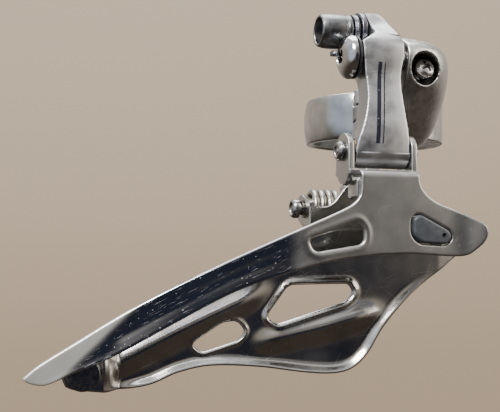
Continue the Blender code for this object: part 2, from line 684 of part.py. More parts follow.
def cage_inner_plate():
    stations = spread(-85.2, -72, 10) + spread(-70, 8.6, 40)
    made = solid("cage_inner_plate",
                 plate(stations, 12, lambda x: along(INNER_TOP, x), lambda x: along(INNER_BOTTOM, x),
                       inner_face, PLATE),
                 (POLISHED, 0.14, 1.0))
    combine(made, window("big_window", BIG_WINDOW, 1.6))
    combine(made, window("slot_window", SLOT_WINDOW, 1.2))
    hole = turned([(0, -44), (1.7, -44), (1.7, -30), (0, -30)], (TAIL_SCREW.x, 0, TAIL_SCREW.y),
                  (0, 1, 0), 16)
    combine(made, solid("inner_tail_hole", hole))
    rivet_holes(made, NOSE_RIVETS + BRACKET_RIVETS)
    return made


def cage_inner_bracket():
    """Folded bracket on the inner plate: a wall behind the plate and two ears round the spring."""
    back = INNER_FACE + PLATE + GAP
    wall = [(BRACKET_LEFT, -25.4), (-28.4, -24.9), (-24.8, -24.9), (-23.2, -23.9), (-19.9, -19.7),
            (-17.6, -19.7),
            (-14.0, -22.0), (BRACKET_RIGHT + EAR, -22.4), (BRACKET_RIGHT + EAR, -38.6),
            (BRACKET_LEFT, -38.6)]
    made = solid("cage_inner_bracket", prism(rounded(wall, 0.8, 2), back, back + EAR, "Y"),
                 (SILVER, 0.3, 1.0))
    for name, low in (("left_bracket_ear", BRACKET_LEFT), ("right_bracket_ear", BRACKET_RIGHT)):
        y0, z0 = LOWER_INNER
        outline = [(back + 0.1, z0 + 1.5)] + [(back + 0.1, z0 - 7.0)] + arc((y0, z0), 3.4, -60, 120, 10)
        combine(made, solid(name, prism(outline, low, low + EAR, "X")), "UNION")
    combine(made, solid("bracket_pin_hole", rod(1.65, -40, 0, LOWER_INNER)))
    rivet_holes(made, BRACKET_RIVETS)
    return made


def rivet_holes(made, places):
    """Holes near the inner plate for the rivets at the given (x, z) places."""
    for k, (x, z) in enumerate(places):
        hole = turned([(0, -37), (RIVET_HOLE_R, -37), (RIVET_HOLE_R, -28), (0, -28)], (x, 0, z),
                      (0, 1, 0), 12)
        combine(made, solid(f"{made.name}_rivet_hole_{k + 1}", hole))


def rivet(name, x, z, low, high):
    profile = [(0, low - 0.7), (1.2, low - 0.7), (RIVET_HEAD_R, low - GAP), (RIVET_R, low - GAP),
               (RIVET_R, high + GAP), (RIVET_HEAD_R, high + GAP), (1.2, high + 0.9), (0, high + 0.9)]
    return solid(name, turned(profile, (x, 0, z), (0, 1, 0), 14), (CHROME, 0.25, 1.0))


def tail_parts():
    """Threaded spacer behind the outer plate's tail, with the screw and washer on the inner side."""
    at, along_y = (TAIL_SCREW.x, 0, TAIL_SCREW.y), (0, 1, 0)
    low, high, back = OUTER_TAIL_BACK, INNER_TAIL_FACE - GAP, INNER_TAIL_FACE + PLATE + GAP
    spacer = [(0, low), (3.3, low), (3.5, low + 0.4), (3.5, high - 0.4), (3.3, high), (1.7, high),
              (1.7, low + 0.8),
              (0, low + 0.8)]
    seat = back + 0.6
    screw = [(0, low + 1.1), (1.4, low + 1.1), (1.4, seat + GAP), (2.6, seat + GAP), (2.6, seat + 1.6),
             (1.9, seat + 2.3),
             (0, seat + 2.3)]
    dark = (DARK_STEEL, 0.35, 1.0)
    return [solid("tail_spacer", turned(spacer, at, along_y, 22), dark),
            solid("tail_screw", turned(screw, at, along_y, 18), dark),
            washer("tail_washer", at, along_y, 1.7, 3.1, back, seat, dark, 18)]


def chain_guide_insert():
    face = OUTER_FACE - 0.7
    outline = rounded(shrunk(INSERT, GAP + 0.05), 1.1, 4)
    return solid("chain_guide_insert", prism(outline, face, OUTER_FACE + 2.2, "Y"),
                 (INSERT_GREY, 0.55, 0.0))


# ---------------------------------------------------------------- assembly

def main():
    clear_scene()
    fixed_body()
    dome_bolt()
    washer("pivot_washer", (0, *UPPER_OUTER), (-1, 0, 0), 2.4, 4.95, 20.1, 20.6, (BLACK, 0.5, 0.0))
    pin("upper_inner_pivot_pin", UPPER_INNER, INNER_TOP_PIN_R, -12.1, -2.6)
    for name, (at, out), head_r in (("low_limit_screw", LOW_SCREW, 2.35),
                                    ("high_limit_screw", HIGH_SCREW, 2.2)):
        hang_on(limit_screw(name, at, out, head_r), joint_empty(name + "_axis", at))

    band_axis = joint_empty("band_axis", (*HINGE, 0))
    bolt_axis = joint_empty("clamp_bolt_axis", (*BOLT, 0), band_axis)
    hinge_pin, bolt, ring = clamp_hardware()
    hang_on(clamp_band(), band_axis)
    hang_on(ring, band_axis)
    hang_on(bolt, bolt_axis)

    outer_axis = joint_empty("outer_link_axis", (-14, *UPPER_OUTER))
    anchor_axis = joint_empty("cable_anchor_axis", (-20, *ANCHOR), outer_axis)
    hang_on(outer_link(), outer_axis)
    hang_on(sleeve("upper_pivot_bush", UPPER_OUTER, TOP_BOLT_R + PLAY, TOP_BUSH_R, -19.0, -10.6),
            outer_axis)
    hang_on(sleeve("lower_pivot_bush", LOWER_OUTER, LOW_PIN_R + PLAY, LOW_BUSH_R, -22.1, -9.6),
            outer_axis)
    hang_on(clamp_plate(), outer_axis)
    dark = (DARK_STEEL, 0.35, 1.0)
    hang_on(washer("cable_washer", (0, *ANCHOR), (-1, 0, 0), 2.6, 4.3, 17.7, 19.0, dark), outer_axis)
    hang_on(anchor_bolt(), anchor_axis)

    inner_axis = joint_empty("inner_link_axis", (-13, *UPPER_INNER))
    hang_on(inner_link(), inner_axis)

    cage_axis = joint_empty("cage_axis", (-14, *LOWER_OUTER), outer_axis)
    cage = [cage_outer_plate(), cage_inner_plate(), cage_inner_bracket(), chain_guide_insert(),
            return_spring()]
    cage.append(pin("lower_outer_pivot_pin", LOWER_OUTER, LOW_PIN_R, -24.7, -7.5, head=(2.3, 1.2),
                    tail=(2.4, 0.9)))
    cage.append(pin("lower_inner_pivot_pin", LOWER_INNER, 1.45, -29.9, -6.0, head=(2.3, 1.7)))
    clip = washer("lower_pin_clip", (0, *LOWER_INNER), (1, 0, 0), 1.6, 2.7, -6.8, -6.2, dark, 18)
    cage.append(clip)
    for k, (x, z) in enumerate(NOSE_RIVETS):
        cage.append(rivet(f"nose_rivet_{k + 1}", x, z, INNER_FACE - GAP - 1.1, INNER_FACE + PLATE))
    for k, (x, z) in enumerate(BRACKET_RIVETS):
        cage.append(rivet(f"bracket_rivet_{k + 1}", x, z, INNER_FACE, INNER_FACE + PLATE + GAP + EAR))
    cage += tail_parts()
    for piece in cage:
        hang_on(piece, cage_axis)


main()
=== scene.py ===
"""Visual model of the clamp-on front derailleur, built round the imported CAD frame.

Pieces are modelled in millimetres, in the frame of the CAD model, and become metres in finish_piece().
"""
import math

import bmesh
import bpy
import numpy as np
from mathutils import Matrix, Vector
from mathutils.geometry import delaunay_2d_cdt


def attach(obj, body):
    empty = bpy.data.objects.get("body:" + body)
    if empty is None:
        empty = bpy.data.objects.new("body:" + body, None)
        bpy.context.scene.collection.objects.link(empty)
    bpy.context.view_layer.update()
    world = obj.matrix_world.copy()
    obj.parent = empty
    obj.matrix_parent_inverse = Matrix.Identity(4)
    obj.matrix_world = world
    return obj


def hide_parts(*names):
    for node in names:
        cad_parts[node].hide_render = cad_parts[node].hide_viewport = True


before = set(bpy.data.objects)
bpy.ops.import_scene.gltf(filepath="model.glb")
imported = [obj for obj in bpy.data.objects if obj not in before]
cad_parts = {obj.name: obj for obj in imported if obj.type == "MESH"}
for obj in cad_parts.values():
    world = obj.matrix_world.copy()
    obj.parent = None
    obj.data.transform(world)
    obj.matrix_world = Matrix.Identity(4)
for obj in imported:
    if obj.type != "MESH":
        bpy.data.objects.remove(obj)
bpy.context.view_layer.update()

MM = 0.001
GAP = 0.3
COARSER = 1.0
CORNER_SHARE = 0.45        # the most of an edge that one corner's curve takes up

# Clamp
TUBE_R, CLAMP_R, BAND_R, CLAMP_HALF_H = 16.0, 19.6, 18.8, 6.0
HINGE_ANGLE, HINGE_R, KNUCKLE_R, KNUCKLE_SPLIT = -120.0, 20.2, 2.0, 2.05
BOLT_ANGLE, BOLT_R = 73.0, 23.3
HINGE_HOLE_R = 1.15

# Linkage pivots, as (y, z)
UPPER_OUTER = Vector((-37.5, 9.6))
LOWER_OUTER = Vector((-40.8, -12.6))
UPPER_INNER = Vector((-22.6, -3.0))
LOWER_INNER = Vector((-25.9, -25.2))
ANCHOR = Vector((-31.0, 17.0))

# Fixed body
CHEEK_X, BODY_BACK_Y = -8.5, -14.0
BODY_REACH_X = ((-9.6, 11.0), (-8.6, 14.2), (-5.5, 16.5), (-1.0, 17.6), (4.0, 18.0), (9.0, 17.9), (12.6, 17.2),
                (14.6, 16.3), (16.2, 15.2), (17.6, 13.6), (18.4, 12.0))
BODY_REACH_Y = ((-9.6, 10.0), (-8.6, 13.0), (-5.5, 17.5), (-1.0, 21.5), (4.0, 25.5), (9.0, 27.6), (12.6, 27.0),
                (14.6, 24.0), (16.2, 19.4), (17.6, 13.0), (18.4, 7.0))
LOW_SCREW = (Vector((-2.4, -35.6, 7.6)), Vector((0.06, -0.93, 0.36)))
LOW_POCKET = Vector((-0.24, -0.97, 0.03))
HIGH_SCREW = (Vector((-3.4, -27.2, 14.6)), Vector((0.0, -0.42, 0.91)))

# Cage
OUTER_FACE, INNER_FACE, PLATE, EAR = -46.5, -34.1, 1.2, 1.4
EAR_LEFT, EAR_RIGHT, BRACKET_LEFT, BRACKET_RIGHT = -24.4, -9.2, -29.2, -8.5
TAIL_SCREW = Vector((-80.8, -60.4))
OUTER_TAIL_BACK, INNER_TAIL_FACE = -42.8, -39.3
NOSE_RIVETS = ((-2.6, -31.4), (1.6, -32.2))
BRACKET_RIVETS = ((-13.9, -31.0), (-10.6, -33.7))


# ---------------------------------------------------------------- outlines

def arc(centre, radius, start, end, steps):
    """Points on an arc, angles in degrees."""
    angles = [math.radians(start + (end - start) * i / steps) for i in range(steps + 1)]
    return [(centre[0] + radius * math.cos(a), centre[1] + radius * math.sin(a)) for a in angles]


def corner_curve(before, corner, after, radius, steps):
    """Points of the small curve that replaces one corner."""
    here = Vector(corner)
    back, ahead = Vector(before) - here, Vector(after) - here
    reach = min(radius, back.length * CORNER_SHARE, ahead.length * CORNER_SHARE)
    start, end = here + back.normalized() * reach, here + ahead.normalized() * reach
    return [tuple(start * (1 - t) ** 2 + here * 2 * t * (1 - t) + end * t * t)
            for t in (k / steps for k in range(steps + 1))]


def rounded(corners, radius, steps=8):
    """A closed polygon with each corner replaced by a small curve."""
    points = []
    for i, corner in enumerate(corners):
        points += corner_curve(corners[i - 1], corner, corners[(i + 1) % len(corners)], radius, steps)
    return points


def along(points, position):
    """Height of a smooth curve through points, at one position on the first axis."""
    last = len(points) - 1
    if position <= points[0][0]:
        return points[0][1]
    if position >= points[last][0]:
        return points[last][1]
    k = max(i for i in range(last) if points[i][0] <= position)

    def slope(i):
        low, high = points[max(i - 1, 0)], points[min(i + 1, last)]
        return (high[1] - low[1]) / (high[0] - low[0])

    (x0, z0), (x1, z1) = points[k], points[k + 1]
    span = x1 - x0
    t = (position - x0) / span
    return ((2 * t ** 3 - 3 * t * t + 1) * z0 + (t ** 3 - 2 * t * t + t) * span * slope(k)
            + (3 * t * t - 2 * t ** 3) * z1 + (t ** 3 - t * t) * span * slope(k + 1))


def ease(low, high, value):
    """0 below low, 1 above high, smooth between."""
    t = min(max((value - low) / (high - low), 0.0), 1.0)
    return t * t * (3 - 2 * t)


def hump(centre, width, value):
    return math.exp(-((value - centre) / width) ** 2)


def spread(low, high, count):
    return [low + (high - low) * i / count for i in range(count + 1)]


def polar(radius, degrees):
    return Vector((radius * math.cos(math.radians(degrees)), radius * math.sin(math.radians(degrees))))


HINGE = polar(HINGE_R, HINGE_ANGLE)
BOLT = polar(BOLT_R, BOLT_ANGLE)
BOLT_RUN = polar(1.0, BOLT_ANGLE + 90)


# ---------------------------------------------------------------- basic solids, in millimetres

AXIS_ORDER = {"X": lambda u, v, w: (w, u, v), "Y": lambda u, v, w: (u, w, v), "Z": lambda u, v, w: (u, v, w)}


def prism(outline, low, high, axis, bevel=0.0, segments=3):
    """Extrude an outline along an axis, with rounded rims if bevel is given."""
    bm = bmesh.new()
    put = AXIS_ORDER[axis]
    bottom = [bm.verts.new(put(u, v, low)) for u, v in outline]
    top = [bm.verts.new(put(u, v, high)) for u, v in outline]
    caps = [bm.faces.new(bottom), bm.faces.new(top)]
    count = len(outline)
    for i in range(count):
        j = (i + 1) % count
        bm.faces.new((bottom[i], bottom[j], top[j], top[i]))
    bmesh.ops.recalc_face_normals(bm, faces=bm.faces)
    if bevel:
        rims = list({edge for cap in caps for edge in cap.edges})
        bmesh.ops.bevel(bm, geom=rims, offset=bevel, segments=segments, profile=0.5, affect="EDGES",
                        clamp_overlap=False)
    return bm


def turned(profile, centre, direction, segments=64):
    """Spin a profile of (radius, height) pairs about an axis; both ends close on the axis or a ring."""
    bm = bmesh.new()
    turn = Vector(direction).to_track_quat("Z", "Y").to_matrix()
    rings = []
    for radius, height in profile:
        if radius < 1e-6:
            rings.append([bm.verts.new(turn @ Vector((0, 0, height)) + Vector(centre))])
            continue
        angles = [2 * math.pi * i / segments for i in range(segments)]
        rings.append([bm.verts.new(turn @ Vector((radius * math.cos(a), radius * math.sin(a), height))
                                   + Vector(centre)) for a in angles])
    pairs = list(zip(rings, rings[1:]))
    if len(rings[0]) > 1:
        pairs.append((rings[-1], rings[0]))
    for low, high in pairs:
        for i in range(segments):
            j = (i + 1) % segments
            corners = [low[i % len(low)], low[j % len(low)], high[j % len(high)], high[i % len(high)]]
            unique = list(dict.fromkeys(corners))
            if len(unique) > 2:
                bm.faces.new(unique)
    return bm


def softened(profile, radius, steps=3):
    """An open or closed lathe profile with its corners rounded; points on the axis stay."""
    closed = profile[0][0] > 1e-6
    count = len(profile)
    points = []
    for i, spot in enumerate(profile):
        if closed or 0 < i < count - 1:
            points += corner_curve(profile[i - 1], spot, profile[(i + 1) % count], radius, steps)
        else:
            points.append(spot)
    return points


def cylinder(radius, low, high, at, out, segments=40):
    """A plain round bar or cutter between two heights on its axis."""
    return turned([(0, low), (radius, low), (radius, high), (0, high)], at, out, segments)


def rod(radius, low, high, at, segments=40):
    """A plain round cutter along X through (y, z)."""
    return cylinder(radius, low, high, (0, at[0], at[1]), (1, 0, 0), segments)


def skinned(bm, rings):
    """Faces between equal rings of vertices, with a cap on both ends."""
    for low, high in zip(rings, rings[1:]):
        for i in range(len(low)):
            j = (i + 1) % len(low)
            bm.faces.new((low[i], low[j], high[j], high[i]))
    bm.faces.new(rings[0])
    bm.faces.new(rings[-1])
    return bm


def ring_sector(profile, start, end, steps):
    """Sweep a closed (radius, z) profile about Z between two angles in degrees."""
    bm = bmesh.new()
    return skinned(bm, [[bm.verts.new((*polar(r, angle), z)) for r, z in profile]
                        for angle in spread(start, end, steps)])


def tube_along(points, radius, sides=16):
    """A closed round bar that follows a list of points."""
    bm = bmesh.new()
    spots = [Vector(p) for p in points]
    rings = []
    side = None
    for i, spot in enumerate(spots):
        run = (spots[min(i + 1, len(spots) - 1)] - spots[max(i - 1, 0)]).normalized()
        if side is None:
            side = run.orthogonal().normalized()
        side = (side - run * side.dot(run)).normalized()
        other = run.cross(side)
        rings.append([bm.verts.new(spot + (side * math.cos(a) + other * math.sin(a)) * radius)
                      for a in (2 * math.pi * k / sides for k in range(sides))])
    return skinned(bm, rings)


# ---------------------------------------------------------------- objects

def shape(name, bm):
    """A bmesh in millimetres as an object, still in millimetres."""
    bmesh.ops.remove_doubles(bm, verts=bm.verts, dist=0.0005)
    bmesh.ops.recalc_face_normals(bm, faces=bm.faces)
    mesh = bpy.data.meshes.new(name)
    bm.to_mesh(mesh)
    bm.free()
    made = bpy.data.objects.new(name, mesh)
    bpy.context.scene.collection.objects.link(made)
    return made


def bake(made):
    """Apply an object's modifiers to its mesh."""
    graph = bpy.context.evaluated_depsgraph_get()
    mesh = bpy.data.meshes.new_from_object(made.evaluated_get(graph))
    made.modifiers.clear()
    made.data = mesh


def combine(target, tool_bm, operation="DIFFERENCE"):
    """Cut or join a bmesh, and keep only the result."""
    tool = shape("tool", tool_bm)
    step = target.modifiers.new("combine", "BOOLEAN")
    step.operation = operation
    step.solver = "EXACT"
    step.object = tool
    bake(target)
    bpy.data.objects.remove(tool)


def cast(made, voxel, rounds):
    """Melt a sharp solid into one cast or forged skin with rounded edges."""
    skin = made.modifiers.new("skin", "REMESH")
    skin.mode = "VOXEL"
    skin.voxel_size = voxel * COARSER
    soft = made.modifiers.new("soft", "SMOOTH")
    soft.factor = 0.5
    soft.iterations = rounds
    bake(made)


def finish_piece(made, look, body, nodes, smooth_angle=38):
    """Metres, shading, material, body and the CAD nodes that this piece stands for."""
    made.data.transform(Matrix.Scale(MM, 4))
    made.data.shade_smooth()
    made.data.set_sharp_from_angle(angle=math.radians(smooth_angle))
    made.data.materials.clear()
    made.data.materials.append(look)
    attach(made, body)
    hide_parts(*nodes)
    return made


# ---------------------------------------------------------------- sheet metal

def resampled(loop, step):
    """Evenly spaced points round a closed polygon."""
    corners = [Vector(p) for p in loop]
    corners.append(corners[0])
    lengths = [0.0]
    for a, b in zip(corners, corners[1:]):
        lengths.append(lengths[-1] + (b - a).length)
    count = max(8, round(lengths[-1] / step))
    points, k = [], 0
    for i in range(count):
        want = lengths[-1] * i / count
        while lengths[k + 1] < want:
            k += 1
        span = max(lengths[k + 1] - lengths[k], 1e-9)
        points.append(tuple(corners[k].lerp(corners[k + 1], (want - lengths[k]) / span)))
    return points


def distance_to(points, loop):
    """Distance of each point to a closed polygon."""
    a = np.array(loop)
    run = np.roll(a, -1, axis=0) - a
    size = (run ** 2).sum(1) + 1e-12
    best = np.full(len(points), 1e9)
    for start, way, square in zip(a, run, size):
        t = np.clip(((points - start) @ way) / square, 0, 1)
        best = np.minimum(best, np.hypot(*(points - start - t[:, None] * way).T))
    return best


def within(points, loops):
    """True where a point lies in the first loop and in no other."""
    odd = np.zeros(len(points), bool)
    for loop in loops:
        a = np.array(loop)
        b = np.roll(a, -1, axis=0)
        for (x0, z0), (x1, z1) in zip(a, b):
            if z0 == z1:
                continue
            crosses = (points[:, 1] >= min(z0, z1)) & (points[:, 1] < max(z0, z1))
            odd ^= crosses & (points[:, 0] < x0 + (points[:, 1] - z0) * (x1 - x0) / (z1 - z0))
    return odd


def sheet_points(loops, spacing, edge):
    """Loop points, rings just inside them, and a triangular grid between."""
    rings = []
    for loop in loops:
        a = np.array(loop)
        way = np.roll(a, -1, axis=0) - np.roll(a, 1, axis=0)
        normal = np.stack([-way[:, 1], way[:, 0]], 1) / np.linalg.norm(way, axis=1)[:, None]
        for depth in (0.08, 0.3, 0.62, 1.0, 1.7):
            for side in (1, -1):
                rings.append((a + normal * side * depth * edge, depth * edge))
    kept = []
    for ring, depth in rings:
        near = np.min([distance_to(ring, loop) for loop in loops], axis=0)
        kept.append(ring[within(ring, loops) & (near > depth * 0.9)])
    low, high = np.min(loops[0], axis=0), np.max(loops[0], axis=0)
    grid = []
    rows = int((high[1] - low[1]) / (spacing * 0.866)) + 1
    for r in range(rows):
        z = low[1] + r * spacing * 0.866
        for x in np.arange(low[0] + (r % 2) * spacing / 2, high[0], spacing):
            grid.append((x, z))
    grid = np.array(grid)
    near = np.min([distance_to(grid, loop) for loop in loops], axis=0)
    kept.append(grid[within(grid, loops) & (near > edge * 1.7 + spacing * 0.4)])
    return np.concatenate(kept)


def sheet_metal(outline, holes, face, thickness, spacing=0.7, edge=0.34):
    """Pressed sheet with windows. face(x, z, near) is the outer side's y, near the distance to each loop."""
    spacing *= COARSER
    loops = [resampled(outline, 0.36)] + [resampled(hole, 0.26) for hole in holes]
    points = [Vector(p) for loop in loops for p in loop]
    borders, first = [], 0
    for loop in loops:
        borders += [(first + i, first + (i + 1) % len(loop)) for i in range(len(loop))]
        first += len(loop)
    points += [Vector(p) for p in sheet_points(loops, spacing, edge)]
    flat, _, triangles, *_ = delaunay_2d_cdt(points, borders, [], 0, 1e-4)
    spots = np.array([tuple(p) for p in flat])
    middles = np.array([spots[list(t)].mean(0) for t in triangles])
    triangles = [t for t, keep in zip(triangles, within(middles, loops)) if keep]
    near = np.array([distance_to(spots, loop) for loop in loops])
    bm = bmesh.new()
    sides = []
    for depth, sign in ((0.0, 1), (thickness, -1)):
        row = []
        for i, (x, z) in enumerate(spots):
            d = min(near[:, i].min(), edge)
            drop = edge - math.sqrt(max(edge * edge - (edge - d) ** 2, 0.0))
            row.append(bm.verts.new((x, face(x, z, near[:, i]) + depth + sign * drop, z)))
        sides.append(row)
    outer, inner = sides
    uses = {}
    for a, b, c in triangles:
        bm.faces.new((outer[a], outer[b], outer[c]))
        bm.faces.new((inner[a], inner[c], inner[b]))
        for pair in ((a, b), (b, c), (c, a)):
            key = tuple(sorted(pair))
            uses[key] = uses.get(key, 0) + 1
    for (a, b), count in uses.items():
        if count == 1:
            bm.faces.new((outer[a], outer[b], inner[b], inner[a]))
    loose = [v for v in bm.verts if not v.link_faces]
    bmesh.ops.delete(bm, geom=loose, context="VERTS")
    bmesh.ops.recalc_face_normals(bm, faces=bm.faces)
    return bm


# ---------------------------------------------------------------- materials

class Nodes:
    """Shorthand for one node tree. A value is a number, a colour or vector, or another node's output."""

    def __init__(self, tree):
        self.tree = tree

    def link(self, value, socket):
        if isinstance(value, (int, float)):
            socket.default_value = value
        elif isinstance(value, tuple):
            socket.default_value = (*value, 1.0) if len(socket.default_value) == 4 else value
        else:
            self.tree.links.new(value, socket)

    def node(self, kind, inputs=None, **settings):
        made = self.tree.nodes.new("ShaderNode" + kind)
        for key, value in settings.items():
            setattr(made, key, value)
        for socket, value in (inputs or {}).items():
            self.link(value, made.inputs[socket])
        return made

    def step(self, value, low, high, to_low=0.0, to_high=1.0):
        """Smooth step of a value between low and high."""
        return self.node("MapRange", {"Value": value, "From Min": low, "From Max": high, "To Min": to_low,
                                      "To Max": to_high}, interpolation_type="SMOOTHSTEP").outputs[0]

    def mix(self, factor, a, b):
        return self.node("Mix", {"Factor": factor, 6: a, 7: b}, data_type="RGBA").outputs[2]


class Graph(Nodes):
    """A procedural Principled material, with object coordinates in millimetres."""

    def __init__(self, name, roughness=0.3, metallic=1.0):
        self.made = bpy.data.materials.new(name)
        self.made.use_nodes = True
        super().__init__(self.made.node_tree)
        self.shader = self.tree.nodes["Principled BSDF"]
        self.shader.inputs["Metallic"].default_value = metallic
        self.roughness(roughness)
        place = self.node("TexCoord").outputs["Object"]
        self.place = self.node("VectorMath", {0: place, "Scale": 1 / MM}, operation="SCALE").outputs[0]
        self.split = self.node("SeparateXYZ", {0: self.place})

    def math(self, operation, a, b):
        return self.node("Math", {0: a, 1: b}, operation=operation).outputs[0]

    def times(self, a, b):
        return self.math("MULTIPLY", a, b)

    def plus(self, a, b):
        return self.math("ADD", a, b)

    def minus(self, a, b):
        return self.math("SUBTRACT", a, b)

    def most(self, a, b):
        return self.math("MAXIMUM", a, b)

    def placed(self, scale, turn=(0, 0, 0), shift=(0, 0, 0)):
        """The place turned first and scaled after, so that streaks follow the turn."""
        radians = tuple(math.radians(t) for t in turn)
        place = self.node("Mapping", {"Vector": self.place, "Rotation": radians}).outputs[0]
        scale = scale if isinstance(scale, tuple) else (scale,) * 3
        return self.node("Mapping", {"Vector": place, "Location": shift, "Scale": scale}).outputs[0]

    def noise(self, scale, turn=(0, 0, 0), shift=(0, 0, 0), detail=3.0, rough=0.55):
        """Noise in cycles per millimetre, with one scale or one for each axis."""
        return self.node("TexNoise", {"Vector": self.placed(scale, turn, shift), "Scale": 1.0, "Detail": detail,
                                      "Roughness": rough}).outputs["Fac"]

    def specks(self, scale, size, shift=(0, 0, 0)):
        """Small scattered dots."""
        made = self.node("TexVoronoi", {"Vector": self.placed(scale, shift=shift), "Scale": 1.0})
        return self.step(made.outputs["Distance"], size * 0.5, size, 1.0, 0.0)

    def scratches(self, width, amount, turns, long=0.10):
        """Sparse straight hairlines in a few directions; amount widens how much of the surface they reach."""
        total = None
        for k, turn in enumerate(turns):
            line = self.noise((long, 0.9, 1 / width), (0, turn, 0), (k * 7.3, k * 3.1, k * 5.7), 1.0, 0.4)
            line = self.step(line, 0.76 - amount * 0.03, 0.80 - amount * 0.03)
            total = line if total is None else self.most(total, line)
        return total

    def near(self, spot, inside, outside):
        """1 within one distance of a point, 0 beyond another, both in millimetres."""
        made = self.node("VectorMath", {0: self.place, 1: spot}, operation="DISTANCE")
        return self.step(made.outputs["Value"], inside, outside, 1.0, 0.0)

    def edges(self, low=0.52, high=0.60):
        return self.step(self.node("NewGeometry").outputs["Pointiness"], low, high)

    def colour(self, value):
        self.link(value, self.shader.inputs["Base Color"])

    def roughness(self, value):
        self.link(value, self.shader.inputs["Roughness"])

    def metallic(self, value):
        self.link(value, self.shader.inputs["Metallic"])

    def bump(self, height, strength, distance=0.02):
        made = self.node("Bump", {"Strength": strength, "Distance": distance * MM, "Height": height})
        self.link(made.outputs[0], self.shader.inputs["Normal"])


def shade(colour, factor):
    return tuple(min(c * factor, 1.0) for c in colour)


def metal(name, colour, rough, mottle=0.12, brush=None, brush_bump=0.25, lines=0.0, dots=0.0, dirt_and_hollow_shade=None,
          wear=0.0, patch=0.35, shade_spots=(), cast=False):
    """A worn metal: cloudy colour, brushing along one axis, scratches, pits, noise dirt and painted shade in the
    hollows, and near-black spots of painted shade.
    """
    g = Graph(name)
    cloud = g.noise(patch, detail=2.0)
    base = g.mix(g.step(cloud, 0.25, 0.75), shade(colour, 1 - mottle), shade(colour, 1 + mottle * 0.4))
    level = g.step(g.noise(patch * 2.1, shift=(3, 8, 5)), 0.3, 0.7, rough * 0.78, rough * 1.25)
    if dirt_and_hollow_shade:
        dirt_and_shade = g.step(g.noise(0.34, shift=(14, 2, 6), detail=6.0, rough=0.62), 0.52, 0.80)
        dirt_and_shade = g.times(dirt_and_shade, 0.45)
        # Concave places found by pointiness darken as well: painted shade in the hollows, on top of the noise dirt.
        if not cast:
            dirt_and_shade = g.most(dirt_and_shade, g.times(g.edges(0.49, 0.40), 0.6))
        base = g.mix(dirt_and_shade, base, dirt_and_hollow_shade)
        level = g.plus(level, g.times(dirt_and_shade, 0.12))
    if dots:
        pits = g.specks(1.3, dots, (2, 5, 9))
        base = g.mix(g.times(pits, 0.8), base, shade(colour, 0.25))
        level = g.plus(level, g.times(pits, 0.25))
    height = g.noise(brush, detail=2.0) if brush else g.noise(2.5, detail=3.0)
    if lines:
        cuts = g.scratches(0.11, lines, (24, -38, 66, 9))
        base = g.mix(g.times(cuts, 0.55), base, shade(colour, 1.5))
        level = g.plus(level, g.times(cuts, 0.15))
        height = g.minus(height, g.times(cuts, 0.5))
    if wear:
        worn = g.times(g.edges(), wear)
        base = g.mix(worn, base, shade(colour, 1.6))
    # Near-black spots around given points: painted shade in pockets, seams and under parts.
    for spot, inside, outside, strength in shade_spots:
        spot_shade = g.times(g.near(spot, inside, outside), strength)
        base = g.mix(spot_shade, base, (0.035, 0.028, 0.022))
        level = g.plus(level, g.times(spot_shade, 0.15))
    g.colour(base)
    g.roughness(level)
    g.bump(height, brush_bump)
    return g


def outer_plate_look():
    """Chromed plate: satin at the neck, nose and tip, a dark mirror channel along the tail; the channel's colour
    carries a painted bluish sheen, and the tip is painted light and partly matt as a painted reflection.
    """
    g = Graph("chrome_plate")
    x, z = g.split.outputs["X"], g.split.outputs["Z"]
    slanted = g.plus(x, g.times(z, -1.0))
    channel = g.times(g.step(slanted, -24.6, -22.0), g.step(x, -42.0, -34.0, 1.0, 0.0))
    cloud = g.noise(0.22, detail=2.0)
    satin = g.mix(g.step(cloud, 0.25, 0.75), (0.40, 0.40, 0.385), (0.50, 0.50, 0.485))
    # Bluish streaked tint in the mirror channel's colour: a painted reflection sheen.
    painted_blue_sheen = g.mix(g.step(g.noise((0.05, 0.2, 0.2), (0, 28, 0), (3, 1, 2), 1.0), 0.3, 0.7), (0.40, 0.41, 0.44),
                 (0.50, 0.53, 0.60))
    # The tip's colour is painted light and its metal partly turned matt: a painted bright reflection.
    tip = g.step(slanted, -25.4, -23.6, 1.0, 0.0)
    satin = g.mix(tip, satin, (0.80, 0.80, 0.76))
    base = g.mix(channel, satin, painted_blue_sheen)
    cuts = g.scratches(0.08, 0.7, (27, 33, 22), 0.22)
    pits = g.specks(0.62, 0.10, (2, 5, 9))
    many = g.times(g.specks(1.3, 0.15, (7, 1, 4)), g.step(g.noise(0.2, shift=(1, 2, 8)), 0.50, 0.64))
    marks = g.most(cuts, g.most(pits, many))
    base = g.mix(g.times(marks, g.step(channel, 0, 1, 0.25, 0.75)), base, (0.80, 0.81, 0.83))
    g.colour(base)
    level = g.plus(g.step(channel, 0, 1, 0.31, 0.07),
                   g.step(g.noise(0.16, shift=(4, 4, 1), detail=1.0), 0.3, 0.7, -0.01, 0.03))
    g.roughness(g.plus(level, g.times(marks, 0.12)))
    matt = g.times(marks, g.step(channel, 0, 1, 0.06, 0.5))
    # The painted light tip is also made partly non-metallic.
    matt = g.most(matt, g.times(tip, 0.28))
    g.metallic(g.minus(1.0, matt))
    g.bump(g.plus(g.noise(1.2, detail=3.0), g.times(marks, -0.9)), 0.05)
    return g.made


